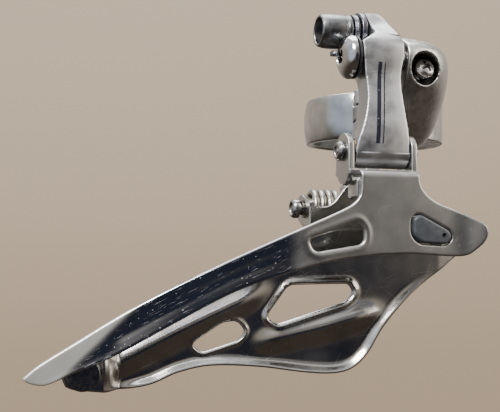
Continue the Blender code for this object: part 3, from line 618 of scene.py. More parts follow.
def arm_look():
    """Satin aluminium arm with two plain printed stripes; no lettering."""
    # Its two near-black spots darken the lever round the cable anchor's seat and the underside of the arm's lower end:
    # painted shade.
    g = metal("satin_arm", (0.46, 0.465, 0.475), 0.35, mottle=0.07, brush=(9, 9, 0.4), brush_bump=0.02, lines=0.5,
              dots=0.02, cast=True, patch=0.15,
              shade_spots=(((-15.5, -31.0, 17.0), 4.9, 6.4, 0.55), ((-15.2, -44.2, -14.6), 1.0, 3.4, 0.30)))
    x, z = g.split.outputs["X"], g.split.outputs["Z"]
    front = g.step(g.split.outputs["Y"], -41.4, -41.2, 1.0, 0.0)
    lean = 0.085                                            # how far the stripes lean, x per z
    across = g.minus(x, g.times(z, lean))

    def band(value, low, high, soft=0.07):
        return g.times(g.step(value, low - soft, low + soft), g.step(value, high - soft, high + soft, 1, 0))

    length = band(z, -11.0, 8.0)
    wide = g.times(band(across, -16.9, -15.9), length)
    thin = g.times(band(across, -15.35, -15.0), length)
    ink = g.most(wide, thin)
    worn = g.step(g.noise(1.6, shift=(6, 1, 3), detail=4.0), 0.64, 0.72, 1.0, 0.35)
    ink = g.times(g.times(ink, front), worn)
    old = g.shader.inputs["Base Color"].links[0].from_socket
    g.colour(g.mix(ink, old, (0.006, 0.007, 0.018)))
    g.metallic(g.minus(1.0, g.times(ink, 0.85)))
    return g.made


def rubbery(name, colour, rough):
    """Moulded plastic with a fine grain and a few scuffs."""
    g = Graph(name, rough, 0.0)
    cloud = g.noise(0.7, detail=4.0)
    scuffs = g.scratches(0.06, 0.9, (15, -50, 74), 0.3)
    base = g.mix(g.step(cloud, 0.3, 0.7), shade(colour, 0.82), shade(colour, 1.2))
    g.colour(g.mix(g.times(scuffs, 0.4), base, shade(colour, 2.2)))
    g.roughness(g.step(g.noise(1.5, shift=(3, 3, 3)), 0.3, 0.7, rough * 0.85, rough * 1.15))
    g.bump(g.noise(6, detail=2.0), 0.25)
    return g.made


# The body's near-black spots sit in the low-limit screw's pocket and on the cheek beside the arm: painted shade.
SATIN_BODY = metal("satin_cast", (0.60, 0.60, 0.585), 0.33, mottle=0.07, brush=2.2, brush_bump=0.05,
                   lines=0.3, dots=0.05, dirt_and_hollow_shade=(0.30, 0.255, 0.21), cast=True,
                   shade_spots=(((-2.4, -34.4, 7.2), 3.3, 4.4, 0.93), ((-8.6, -38.0, 4.0), 2.2, 7.5, 0.6),
                           ((-8.6, -36.0, -5.0), 2.2, 6.5, 0.6))).made
CAST_LINK = metal("satin_cast_link", (0.50, 0.50, 0.485), 0.33, mottle=0.12, brush=2.2, brush_bump=0.05,
                  dots=0.05, dirt_and_hollow_shade=(0.20, 0.17, 0.14), cast=True).made
LEVER_ARM = arm_look()
BAND_METAL = metal("polished_band", (0.52, 0.53, 0.52), 0.19, mottle=0.34, brush=0.6, brush_bump=0.07,
                   lines=0.3, dirt_and_hollow_shade=(0.30, 0.31, 0.28), patch=0.13, cast=True).made
CHROME_PLATE = outer_plate_look()
INNER_STEEL = metal("polished_plate", (0.45, 0.44, 0.42), 0.17, mottle=0.20, brush=0.9, brush_bump=0.03,
                    lines=0.4, dots=0.03, dirt_and_hollow_shade=(0.24, 0.22, 0.20), patch=0.10, cast=True).made
BRIGHT_STEEL = metal("bright_steel", (0.52, 0.505, 0.48), 0.21, mottle=0.12, brush=3, brush_bump=0.05, lines=0.2,
                     dots=0.05, dirt_and_hollow_shade=(0.20, 0.16, 0.12), wear=0.4, patch=0.5).made
EAR_PIN_STEEL = metal("oiled_pin_steel", (0.33, 0.32, 0.31), 0.22, mottle=0.3, brush=3, brush_bump=0.08,
                      dots=0.09, dirt_and_hollow_shade=(0.07, 0.055, 0.04), wear=0.8, patch=0.8).made
CHROMED = metal("chromed_head", (0.55, 0.55, 0.555), 0.11, mottle=0.15, brush=2, brush_bump=0.08, lines=0.5,
                dots=0.04, dirt_and_hollow_shade=(0.24, 0.20, 0.17), wear=0.3, patch=0.5).made
DARK_STEEL = metal("tarnished_steel", (0.20, 0.205, 0.22), 0.27, mottle=0.20, brush=3, brush_bump=0.08,
                   lines=0.2, dots=0.07, dirt_and_hollow_shade=(0.10, 0.07, 0.045), wear=0.6, patch=0.4).made
CAP_STEEL = metal("satin_cap", (0.21, 0.215, 0.22), 0.31, mottle=0.12, brush=2, brush_bump=0.02, dots=0.03,
                  dirt_and_hollow_shade=(0.12, 0.09, 0.07), wear=0.5, patch=0.2).made
# Its near-black dirt colour also serves as painted shade in the cross recess.
SCREW_STEEL = metal("zinc_head", (0.78, 0.77, 0.75), 0.24, mottle=0.08, brush=3, brush_bump=0.03, dots=0.03,
                    dirt_and_hollow_shade=(0.05, 0.04, 0.03), wear=0.3, patch=0.5).made
SPRING_STEEL = metal("spring_wire", (0.48, 0.46, 0.42), 0.30, mottle=0.25, brush=4, brush_bump=0.3, lines=0.3,
                     dots=0.12, dirt_and_hollow_shade=(0.16, 0.11, 0.07), patch=0.9).made
BRONZE = metal("sintered_bronze", (0.50, 0.33, 0.16), 0.38, mottle=0.3, brush=5, brush_bump=0.4, dots=0.15,
               dirt_and_hollow_shade=(0.14, 0.09, 0.05), patch=0.9).made
INSERT_GREY = rubbery("moulded_grey", (0.050, 0.055, 0.062), 0.42)
BLACK_PLASTIC = rubbery("black_washer_plastic", (0.018, 0.018, 0.02), 0.42)


# ---------------------------------------------------------------- clamp and fixed body

def knuckle(ring_angle, low, high):
    """The web that joins a hinge eye to the end of a clamp half."""
    away = (HINGE - polar(TUBE_R, HINGE_ANGLE)).normalized()
    across = Vector((-away.y, away.x))
    side = 1 if ring_angle > HINGE_ANGLE else -1
    outline = [tuple(polar(TUBE_R, ring_angle)), tuple(polar(BAND_R - 0.2, ring_angle)),
               tuple(HINGE + across * side * KNUCKLE_R * 0.9), tuple(HINGE - away * 1.2 - across * side * 0.5)]
    return prism(outline, low, high, "Z")


def about_hinge(radius, low, high):
    return cylinder(radius, low, high, (*HINGE, 0), (0, 0, 1))


def lug(near, far):
    """A clamp bolt lug across the bolt's line, with a rounded free end."""
    out = polar(1.0, BOLT_ANGLE)
    outline = [tuple(out * r + BOLT_RUN * s) for r, s in ((16.6, near), (28.2, near), (28.2, far), (16.6, far))]
    return prism(outline, -5.2, 5.2, "Z")


def about_bolt(radius):
    return cylinder(radius, -12, 12, (*BOLT, 0), (*BOLT_RUN, 0))


def body_shell():
    """The rounded housing, lofted through horizontal sections."""
    bm = bmesh.new()
    steps, power = 36, 2.0 / 2.5
    rings = []
    for z in spread(-9.6, 18.4, 40):
        reach_x, reach_y = along(BODY_REACH_X, z), along(BODY_REACH_Y, z)
        ring = [bm.verts.new((CHEEK_X, BODY_BACK_Y, z))]
        for i in range(steps + 1):
            a = math.pi / 2 * i / steps
            ring.append(bm.verts.new((CHEEK_X + reach_x * math.sin(a) ** power,
                                      BODY_BACK_Y - reach_y * abs(math.cos(a)) ** power, z)))
        rings.append(ring)
    return skinned(bm, rings)


def bore():
    return cylinder(TUBE_R, -30, 40, (0, 0, 0), (0, 0, 1), 120)


def fixed_body():
    half = [(r, z * CLAMP_HALF_H) for r, z in ((TUBE_R - 1, -1), (CLAMP_R, -1), (CLAMP_R, 1), (TUBE_R - 1, 1))]
    made = shape("body_casting", ring_sector(half, -112, 66.5, 90))
    combine(made, body_shell(), "UNION")
    for low, high in ((-CLAMP_HALF_H, -KNUCKLE_SPLIT - 0.15), (KNUCKLE_SPLIT + 0.15, CLAMP_HALF_H)):
        combine(made, knuckle(-110.5, low, high), "UNION")
        combine(made, about_hinge(KNUCKLE_R, low, high), "UNION")
    combine(made, lug(-5.0, -1.2), "UNION")
    split = KNUCKLE_SPLIT + 0.2
    for tool in (bore(), about_bolt(3.7), about_hinge(HINGE_HOLE_R, -9, 9),
                 about_hinge(KNUCKLE_R + 0.6, -split, split), rod(2.3, -12, -7.0, UPPER_OUTER),
                 rod(1.65, -12, -2.2, UPPER_INNER)):
        combine(made, tool)
    for (at, out), way, pocket, depth in ((LOW_SCREW, LOW_POCKET, 3.7, 1.4),
                                          (HIGH_SCREW, HIGH_SCREW[1], 2.8, 0.4)):
        combine(made, cylinder(pocket, -depth, 14, at, way, 48))
        combine(made, cylinder(1.6, -7, 1, at, out, 32))
    cast(made, 0.26, 8)
    dent = Vector((-2.83, -38.0, 2.1))
    for vertex in made.data.vertices:
        vertex.co.y += 0.35 * hump(0, 1.7, (vertex.co - dent).length)
    finish_piece(made, SATIN_BODY, "clamp_body", ["fixed_body"], 70)


def clamp_band():
    start, end = BOLT_ANGLE + 6.5, 360 + HINGE_ANGLE - 6
    section = [(TUBE_R, CLAMP_HALF_H - 0.4), (TUBE_R, -CLAMP_HALF_H + 0.4), (TUBE_R + 0.4, -CLAMP_HALF_H)]
    for z in spread(-CLAMP_HALF_H, CLAMP_HALF_H, 16):
        section.append((BAND_R - 0.75 * abs(z / CLAMP_HALF_H) ** 2.6, z))
    section.append((TUBE_R + 0.4, CLAMP_HALF_H))
    made = shape("clamp_band_strap", ring_sector(section, start, end, 110))
    low, high = -KNUCKLE_SPLIT + 0.15, KNUCKLE_SPLIT - 0.15
    combine(made, knuckle(HINGE_ANGLE - 7.5, low, high), "UNION")
    combine(made, about_hinge(KNUCKLE_R, low, high), "UNION")
    combine(made, lug(1.2, 5.4), "UNION")
    combine(made, about_bolt(2.75))
    combine(made, about_hinge(HINGE_HOLE_R, -9, 9))
    cast(made, 0.24, 6)
    finish_piece(made, BAND_METAL, "band", ["clamp_band"], 70)


def lathe(name, profile, at, out, look, body, node, soften=0.15, segments=64, cuts=()):
    """A turned piece with softened corners, and any cutters taken out of it."""
    made = shape(name, turned(softened(profile, soften), at, out, segments))
    for tool in cuts:
        combine(made, tool)
    return finish_piece(made, look, body, [node], 32)


def hexagon(radius, low, high, at, out):
    return cylinder(radius, low, high, at, out, 6)


def threaded(radius, low, high, pitch=0.8, depth=0.22):
    """Profile points of a threaded shank, as rings."""
    points, height = [], low
    while height < high - pitch:
        points += [(radius - depth, height), (radius, height + pitch * 0.4), (radius, height + pitch * 0.55)]
        height += pitch
    return points + [(radius - depth, height), (radius - depth, high)]


def washer_profile(inner, outer, low, high):
    return [(inner, low), (outer, low), (outer, high), (inner, high)]


def clamp_hardware():
    at, out = (*BOLT, 0), (*BOLT_RUN, 0)
    lathe("hinge_pin", [(0, -6.4), (1.0, -6.4), (1.0, 6.4), (0, 6.4)], (*HINGE, 0), (0, 0, 1), BRIGHT_STEEL,
          "clamp_body", "clamp_hinge_pin", 0.25, 40)
    head = [(0, -8.0), *threaded(2.35, -8.0, 4.0), (2.35, 4.2), (2.35, 7.0), (4.2, 7.0), (4.2, 11.0), (3.6, 11.6),
            (2.9, 11.6), (2.6, 11.3), (0, 11.3)]
    lathe("clamp_socket_bolt", head, at, out, BRIGHT_STEEL, "clamp_bolt_body", "clamp_bolt", 0.2,
          cuts=[hexagon(2.3, 8.6, 13, at, out)])
    lathe("clamp_bolt_washer", washer_profile(2.65, 4.9, 5.7, 6.7), at, out, BRIGHT_STEEL, "band", "clamp_washer")


# ---------------------------------------------------------------- screws and pivots

def pan_screw(name, at, out, head_r, body, node):
    """Pan-head screw with a cross recess; its thread shows under the head."""
    profile = [(0, -6.4), *threaded(1.35, -6.4, 0.2, 0.7, 0.2), (1.35, 0.3), (1.5, 0.35), (1.5, 0.62),
               (head_r - 0.2, 0.62), (head_r - 0.2, 0.82), (head_r, 0.95), (head_r, 1.95), (head_r * 0.93, 2.4),
               (head_r * 0.74, 2.82), (head_r * 0.4, 3.06), (0, 3.1)]
    made = shape(name, turned(softened(profile, 0.09), at, out, 56))
    axis = Vector(out).to_track_quat("Z", "Y").to_matrix().to_4x4()
    turn = Matrix.Translation(at) @ axis @ Matrix.Rotation(0.5, 4, "Z")
    for half_u, half_v in ((head_r * 0.62, 0.36), (0.36, head_r * 0.62)):
        cross = prism([(-half_u, -half_v), (half_u, -half_v), (half_u, half_v), (-half_u, half_v)], 1.5, 4.0, "Z")
        bmesh.ops.transform(cross, matrix=turn, verts=cross.verts)
        combine(made, cross)
    funnel = turned([(0, 1.9), (0.5, 2.2), (0.95, 3.4), (0, 3.4)], at, out, 24)
    combine(made, funnel)
    finish_piece(made, SCREW_STEEL, body, [node], 30)


def dome_bolt():
    """Chromed pivot bolt: a shallow dome with a turned rim and a hexagon socket."""
    at, out, radius, seat, rise = (0, *UPPER_OUTER), (-1, 0, 0), 5.05, 20.9, 2.7
    profile = [(0, 7.3), *threaded(2.15, 7.3, 11.0), (2.15, 11.2), (2.15, seat), (radius - 0.2, seat),
               (radius, seat + 0.25)]
    rim, sweep = seat + 0.5, 1.12
    profile += [(radius * math.cos(a), rim + rise * math.sin(a)) for a in spread(0.0, sweep, 14)]
    top = rim + rise * math.sin(sweep)
    profile += [(2.05, top + 0.02), (1.95, top - 0.18), (0, top - 0.18)]
    made = shape("domed_pivot_bolt", turned(profile, at, out, 96))
    combine(made, hexagon(1.75, 21.4, 27, at, out))
    finish_piece(made, CHROMED, "clamp_body", ["upper_outer_pivot_bolt"], 30)
    lathe("domed_bolt_washer", washer_profile(2.4, 4.95, 20.1, 20.6), at, out, BLACK_PLASTIC, "clamp_body",
          "pivot_washer", 0.12)


def pivot_pins():
    left = (-1, 0, 0)
    lathe("inner_pivot_pin", [(0, 2.6), (1.5, 2.6), (1.5, 12.1), (0, 12.1)], (0, *UPPER_INNER), left, BRIGHT_STEEL,
          "clamp_body", "upper_inner_pivot_pin", 0.3, 40)
    head = [(0, 7.5 - 0.9), (1.7, 7.5 - 0.9), (2.4, 7.05), (2.4, 7.5), (1.75, 7.5), (1.75, 24.7), (2.3, 24.7),
            (2.3, 25.2), (1.75, 25.9), (1.35, 25.9), (1.2, 25.55), (0.65, 25.45), (0.5, 25.7), (0, 25.7)]
    lathe("outer_ear_pin", head, (0, *LOWER_OUTER), left, EAR_PIN_STEEL, "cage", "lower_outer_pivot_pin",
          0.12, 48)
    head = [(0, 6.0), (1.1, 6.0), (1.45, 6.3), (1.45, 29.9), (2.3, 29.9), (2.3, 31.0), (1.9, 31.6), (1.55, 31.6),
            (1.4, 31.2), (0.9, 31.1), (0.75, 31.4), (0, 31.4)]
    lathe("inner_ear_pin", head, (0, *LOWER_INNER), left, EAR_PIN_STEEL, "cage", "lower_inner_pivot_pin",
          0.12, 48)
    lathe("inner_pin_clip", washer_profile(1.6, 2.7, 6.2, 6.8), (0, *LOWER_INNER), left, DARK_STEEL, "cage",
          "lower_pin_clip", 0.15, 48)
    lathe("upper_bush", washer_profile(2.3, 3.2, 10.6, 19.0), (0, *UPPER_OUTER), left, BRONZE, "outer_link_body",
          "upper_pivot_bush", 0.2, 48)
    lathe("lower_bush", washer_profile(1.9, 2.6, 9.6, 22.1), (0, *LOWER_OUTER), left, BRONZE, "outer_link_body",
          "lower_pivot_bush", 0.2, 48)


def cable_anchor():
    """Deep tarnished cap on the cable clamp, with its plate and washer."""
    at, out = (0, *ANCHOR), (-1, 0, 0)
    profile = [(0, 10.4), *threaded(2.35, 10.4, 17.0), (2.35, 17.2), (2.35, 19.3), (3.85, 19.3), (4.1, 19.55),
               (4.1, 20.35), (3.86, 20.5), (3.86, 20.75), (4.1, 20.9), (4.1, 24.2), (4.02, 25.6), (3.78, 26.6),
               (3.5, 26.9),
               (3.2, 26.86), (3.05, 26.6), (2.95, 22.2), (2.7, 21.2), (0, 21.0)]
    lathe("cable_anchor_cap", profile, at, out, CAP_STEEL, "cable_anchor_body", "cable_anchor_bolt",
          0.1, 96)
    lathe("cable_anchor_washer", [(2.6, 17.7), (4.1, 17.7), (4.3, 17.9), (4.3, 18.35), (4.15, 18.5), (4.3, 18.65),
                                  (4.3, 18.85), (4.15, 19.0), (2.6, 19.0)], at, out, DARK_STEEL,
          "outer_link_body", "cable_washer", 0.06, 96)
    made = shape("cable_clamp_disc", turned(softened(washer_profile(2.6, 4.9, 16.1, 17.4), 0.25), at, out, 72))
    finger = rounded([(-31.9, 12.4), (-31.9, 11.2), (-30.1, 11.2), (-30.1, 12.4)], 0.3, 4)
    combine(made, prism(finger, -23.6, -16.1, "X", 0.2), "UNION")
    finish_piece(made, DARK_STEEL, "outer_link_body", ["cable_clamp_plate"])


# ---------------------------------------------------------------- links

def smooth_side(points, count):
    """Evenly spaced samples of a smooth curve x(z) through (z, x) points, as (x, z)."""
    return [(along(points, z), z) for z in spread(points[0][0], points[-1][0], count)]


def outer_link():
    """Side view cut by front view: a waisted arm that turns back at the top into the cable lever."""
    up, low = UPPER_OUTER, LOWER_OUTER
    front_edge = smooth_side(((-12.6, low.x - 3.7), (-8.0, low.x - 3.6), (-2.0, -43.4), (5.0, up.x - 4.6),
                              (10.5, up.x - 4.7), (13.2, up.x - 4.2), (15.2, up.x - 2.4), (18.4, -36.0),
                              (20.6, -34.0)), 60)
    side = arc(low, 3.7, 330, 180, 24)[:-1] + front_edge
    side += arc(ANCHOR, 5.0, 112, -70, 30)
    side += [(-32.2, 12.4), (-33.4, 11.6)]
    side += [(up.x + 4.6, 9.4), (up.x + 3.9, 6.6), (up.x + 1.2, 3.6), (low.x + 3.0, -3.0), (low.x + 2.9, -8.6)]
    made = shape("lever_arm", prism(side, -24, -4, "X"))
    right = smooth_side(((-17, -9.4), (-12.0, -9.4), (-8.4, -9.55), (-2.4, -10.2), (2.4, -10.5), (6.4, -10.35),
                         (8.6, -9.85), (11.0, -9.6), (13.4, -9.65), (16.6, -10.2), (19.4, -10.9), (21.7, -12.2),
                         (23, -14.0)), 90)
    left = smooth_side(((-17, -22.3), (-12.6, -22.3), (-10.4, -21.8), (-7.5, -20.8), (-4.6, -19.9), (-1.5, -19.25),
                        (1.6, -19.0), (6.0, -19.3), (10.0, -19.7), (12.8, -19.8)), 70)
    outline = right + [(-15.8, 23), (-15.8, 15.5)] + left[::-1]
    combine(made, prism(outline, -60, -10, "Y"), "INTERSECT")
    for tool in (rod(3.35, -30, 0, up), rod(2.75, -30, 0, low), rod(2.6, -30, 0, ANCHOR),
                 rod(5.5, -30, -15.8, ANCHOR, 60)):
        combine(made, tool)
    cast(made, 0.19, 10)
    middle = -15.2
    for vertex in made.data.vertices:
        if vertex.co.y < -40.0 and vertex.co.z > -13:
            vertex.co.y += 0.012 * (vertex.co.x - middle) ** 2
    finish_piece(made, LEVER_ARM, "outer_link_body", ["outer_link"], 75)


def inner_link():
    """Short cast link between the fixed body and the cage's inner bracket."""
    up, low = UPPER_INNER, LOWER_INNER
    right = CHEEK_X - GAP
    side = arc(up, 2.6, 0, 180, 20) + arc(low, 3.2, 180, 360, 24)
    made = shape("inner_arm", prism(side, -20, 0, "X"))
    front = [(right, -32), (right, 4), (-12.2, 4), (-12.2, -13.5), (-13.4, -16.5), (-17.8, -19.5), (-17.8, -32)]
    combine(made, prism(front, -40, -10, "Y"), "INTERSECT")
    combine(made, rod(1.62, -30, 0, up))
    combine(made, rod(1.62, -30, 0, low))
    cast(made, 0.2, 4)
    finish_piece(made, CAST_LINK, "inner_link_body", ["inner_link"], 70)


def return_spring():
    """Torsion spring round the lower inner pin, with a leg to each side."""
    turns, mean_r, steps = 4.0, 4.1, 56
    y0, z0 = LOWER_INNER
    start, end = -26.7, -19.6
    points = [(start, y0 - mean_r, z0 - 5.2), (start, y0 - mean_r, z0 - 2.6)]
    for i in range(int(turns * steps) + 1):
        a = math.pi - 2 * math.pi * i / steps
        x = start + (end - start) * i / (turns * steps)
        points.append((x, y0 + mean_r * math.cos(a), z0 + mean_r * math.sin(a)))
    points += [(end + 0.2, y0 - mean_r + 0.1, z0 + 2.6), (end + 0.6, y0 - mean_r + 0.6, z0 + 6.0)]
    made = shape("torsion_spring", tube_along(points, 0.74))
    finish_piece(made, SPRING_STEEL, "cage", ["return_spring"], 60)


# ---------------------------------------------------------------- cage

OUTER_TOP = ((-92.6, -60.6), (-90, -58.4), (-84, -54.6), (-70, -46.1), (-55, -38.7), (-40, -32.0), (-28, -26.8),
             (-24.2, -24.9), (-22.9, -23.7))
OUTER_FRONT_TOP = ((-8.0, -17.6), (-7.9, -19.4), (-6.9, -21.4), (-4.2, -23.6), (0.2, -25.3), (4.6, -27.2),
                   (7.0, -28.5))
OUTER_BOTTOM = ((-92.6, -60.8), (-91.5, -61.6), (-88.4, -62.1), (-84, -60.4), (-75, -56.6), (-62, -49.6), (-50, -43.6),
                (-38, -39.6), (-26, -36.7), (-12, -35.5), (0, -36.0), (3.9, -35.6), (6.8, -33.2))
NECK_TOP = -16.95
NECK_LEFT = ((-22.2, -22.6), (-21.95, -21.0), (-21.9, NECK_TOP))
INNER_TOP = ((-85.2, -60.0), (-84.2, -58.6), (-74.5, -54.6), (-60, -46.2), (-45, -38.6), (-32, -33.0), (-24, -30.4),
             (-12, -29.4), (-4, -28.8), (4, -30.4), (8.6, -34.6))
INNER_BOTTOM = ((-85.2, -60.8), (-84.2, -63.4), (-79, -64.6), (-72, -65.0), (-66, -64.1), (-60, -61.8), (-53, -60.6),
                (-42, -61.2), (-30, -62.9), (-23.5, -63.2), (-19.2, -62.1), (-15.6, -59.0), (-11.5, -52.6),
                (-5.4, -46.2), (0.4, -41.8), (8.6, -36.4))
OUTER_WINDOW = ((-33.9, -32.4), (-33.1, -34.6), (-31.7, -35.2), (-22.2, -33.6), (-21.2, -32.6), (-21.1, -30.4),
                (-22.6, -28.3))
INSERT = ((-10.1, -27.4), (-8.4, -26.3), (-0.6, -30.2), (0.1, -32.0), (-1.3, -33.6), (-8.2, -33.3), (-10.1, -31.4))
BIG_WINDOW = ((-39.7, -50.0), (-34.6, -43.0), (-20.0, -42.8), (-18.8, -44.6), (-20.6, -46.8), (-37.6, -51.8))
SLOT_WINDOW = ((-57.0, -55.8), (-50.0, -51.2), (-46.6, -51.0), (-44.6, -53.2), (-46.2, -55.3), (-54.8, -57.8))


def edge_share(x, z, top, bottom):
    """0 at a plate's top edge, 1 at its bottom edge."""
    high, low = along(top, x), along(bottom, x)
    return min(max((high - z) / max(high - low, 0.5), 0.0), 1.0)


def outer_face(x, z, near):
    """Outside of the outer plate: flat neck, hollow tail channel, flared nose, folded neck top, rimmed windows."""
    share = edge_share(x, z, OUTER_TOP, OUTER_BOTTOM) if x < -23 else 0.5
    tail = (1 - ease(-46, -26, x)) * ease(-79.5, -73.5, x + 0.55 * (z + 52))
    channel = 0.26 * tail * math.sin(math.pi * ease(0.08, 1.0, share)) ** 2
    lip = -0.12 * (1 - ease(-34, -20, x)) * ease(0.78, 1.0, share) * ease(-92, -82, x)
    flare = -2.2 * ease(-2, 9, x) ** 2
    toe_in = 2.4 * (1 - ease(-93, -58, x))
    fold_r, fold_z = 1.55, NECK_TOP - 1.55
    fold = 0.0
    if z > fold_z and -22.5 < x < -7.5:
        fold = fold_r - math.sqrt(max(fold_r ** 2 - (z - fold_z) ** 2, 0.02))
    rim = -0.16 * hump(0.95, 0.5, near[1])
    return OUTER_FACE + channel + lip + flare + toe_in + fold + rim


def inner_face(x, z, near):
    """Outside of the inner plate: a rounded ridge, a dished field, rolled windows, a rolled bottom edge."""
    share = edge_share(x, z, INNER_TOP, INNER_BOTTOM)
    ridge_z = along(((-75, -58.8), (-60, -51.6), (-48, -46.2), (-42, -43.6), (-36, -41.4)), x)
    ridge = -1.55 * hump(ridge_z - 1.4, 2.6, z) * (1 - ease(-47, -37, x)) * ease(-79, -72, x)
    dish = 0.25 * hump(ridge_z - 7.0, 3.6, z) * (1 - ease(-48, -40, x)) * ease(-79, -70, x)
    rim_share = 1 - ease(0.0, 2.6, near[0])
    lip = -1.35 * rim_share ** 1.4 * ease(0.5, 0.7, share) * ease(-78, -66, x) * (1 - ease(-10, 2, x))
    step = -4.4 * (1 - ease(-76.5, -72.5, x))
    toe_in = -0.8 * (1 - ease(-72, -40, x))
    flare = 1.6 * ease(3, 9, x)
    rolled = -0.62 * hump(0.75, 0.62, near[1]) - 0.3 * hump(0.55, 0.42, near[2])
    sill_z = along(((-44, -54.4), (-39, -53.4), (-28.5, -51.2), (-18.6, -48.6), (-14, -47.8)), x)
    sill = -1.6 * hump(sill_z - 1.9, 2.4, z) * ease(-46, -37, x) * (1 - ease(-19, -9, x))
    belly = 0.35 * hump(-58.0, 3.6, z) * hump(-29, 13, x)
    return INNER_FACE + ridge + dish + lip + step + toe_in + flare + rolled + sill + belly


def outline_between(top, bottom, low, high, step=0.5):
    """A closed outline from a top and a bottom curve."""
    stations = spread(low, high, int((high - low) / step))
    return [(x, along(top, x)) for x in stations] + [(x, along(bottom, x)) for x in stations[::-1]]


def outer_outline():
    """The outer plate's edge: along the top to the neck, round the nose, and back along the bottom."""
    points = [(x, along(OUTER_TOP, x)) for x in spread(-92.6, -22.9, 140)]
    points += [*NECK_LEFT, (-8.0, NECK_TOP), OUTER_FRONT_TOP[1]]
    points += [(x, along(OUTER_FRONT_TOP, x)) for x in spread(-7.8, 7.0, 34)]
    points += [(7.7, -29.2), (8.0, -30.2), (8.0, -30.9), (7.6, -32.0)]
    return points + [(x, along(OUTER_BOTTOM, x)) for x in spread(6.8, -92.6, 200)]


def cage_outer_plate():
    holes = [rounded(OUTER_WINDOW, 1.1), rounded(INSERT, 1.2)]
    made = shape("outer_cage_plate", sheet_metal(outer_outline(), holes, outer_face, PLATE, 0.46, 0.42))
    flange = prism(rounded([(EAR_LEFT, -16.9), (EAR_LEFT, -18.1), (EAR_RIGHT + EAR, -18.1), (EAR_RIGHT + EAR, -16.9)],
                           0.3, 3), OUTER_FACE + 1.15, -36.6, "Y", 0.2)
    combine(made, flange, "UNION")
    for low in (EAR_LEFT, EAR_RIGHT):
        outline = [(-36.7, -17.6)] + arc(LOWER_OUTER, 4.1, 20, 160, 30) + [(OUTER_FACE + 1.6, -17.6)]
        combine(made, prism(outline, low, low + EAR, "X", 0.28, 4), "UNION")
    tongue = rounded([(-37.3, -16.8), (-37.8, -18.8), (-39.6, -20.2), (-41.8, -20.4), (-44.0, -19.3),
                      (-44.9, -16.8)], 1.4)
    combine(made, prism(tongue, EAR_LEFT, EAR_LEFT + EAR, "X", 0.28, 4), "UNION")
    tab = rounded([(-22.75, -19.2), (-21.3, -19.2), (-21.3, -23.0), (-22.0, -23.6), (-22.75, -23.0)], 0.4, 4)
    combine(made, prism(tab, OUTER_FACE + 0.9, -40.2, "Y", 0.2), "UNION")
    bridge = [(-4.0, -24.1), (-4.0, -25.3), (3.0, -28.0), (3.0, -26.8)]
    combine(made, prism(bridge, OUTER_FACE + 0.6, INNER_FACE - GAP, "Y", 0.15), "UNION")
    tab = rounded([(-4.0, -24.1), (3.0, -26.8), (3.0, -34.2), (-4.0, -34.2)], 0.8, 4)
    combine(made, prism(tab, INNER_FACE - GAP - 1.1, INNER_FACE - GAP, "Y", 0.2), "UNION")
    combine(made, rod(1.9, -30, 0, LOWER_OUTER))
    rivet_holes(made, NOSE_RIVETS)
    finish_piece(made, CHROME_PLATE, "cage", ["cage_outer_plate"], 42)


def cage_inner_plate():
    holes = [rounded(BIG_WINDOW, 1.6), rounded(SLOT_WINDOW, 1.2)]
    outline = outline_between(INNER_TOP, INNER_BOTTOM, -85.2, 8.6)
    made = shape("inner_cage_plate", sheet_metal(outline, holes, inner_face, PLATE, 0.46, 0.42))
    combine(made, cylinder(1.7, -44, -30, (TAIL_SCREW.x, 0, TAIL_SCREW.y), (0, 1, 0), 32))
    rivet_holes(made, NOSE_RIVETS + BRACKET_RIVETS)
    finish_piece(made, INNER_STEEL, "cage", ["cage_inner_plate"], 42)


def cage_inner_bracket():
    """Folded bracket: a wall behind the inner plate and two ears round the spring."""
    back = INNER_FACE + PLATE + GAP
    wall = [(BRACKET_LEFT, -25.4), (-28.4, -24.9), (-24.8, -24.9), (-23.2, -23.9), (-19.9, -19.7), (-17.6, -19.7),
            (-14.0, -22.0), (BRACKET_RIGHT + EAR, -22.4), (BRACKET_RIGHT + EAR, -38.6), (BRACKET_LEFT, -38.6)]
    made = shape("inner_bracket", prism(rounded(wall, 1.0, 5), back, back + EAR, "Y"))
    y0, z0 = LOWER_INNER
    for low in (BRACKET_LEFT, BRACKET_RIGHT):
        outline = [(back + 0.1, z0 + 1.5), (back + 0.1, z0 - 7.0)] + arc((y0, z0), 3.4, -60, 120, 24)
        combine(made, prism(outline, low, low + EAR, "X"), "UNION")
    combine(made, rod(1.65, -40, 0, LOWER_INNER))
    rivet_holes(made, BRACKET_RIVETS)
    cast(made, 0.17, 3)
    finish_piece(made, BRIGHT_STEEL, "cage", ["cage_inner_bracket"], 70)


def rivet_holes(made, places):
    for x, z in places:
        combine(made, cylinder(1.2, -37, -28, (x, 0, z), (0, 1, 0), 24))


def rivets():
    for names, places, low, high in (("nose_rivet", NOSE_RIVETS, INNER_FACE - GAP - 1.1, INNER_FACE + PLATE),
                                     ("bracket_rivet", BRACKET_RIVETS, INNER_FACE, INNER_FACE + PLATE + GAP + EAR)):
        for k, (x, z) in enumerate(places):
            profile = [(0, low - 0.7), (1.1, low - 0.7), (1.9, low - GAP), (1.0, low - GAP), (1.0, high + GAP),
                       (1.9, high + GAP), (1.6, high + 0.65), (1.0, high + 0.9), (0, high + 0.9)]
            lathe(f"{names}_head_{k + 1}", profile, (x, 0, z), (0, 1, 0), CHROMED, "cage", f"{names}_{k + 1}",
                  0.12, 40)


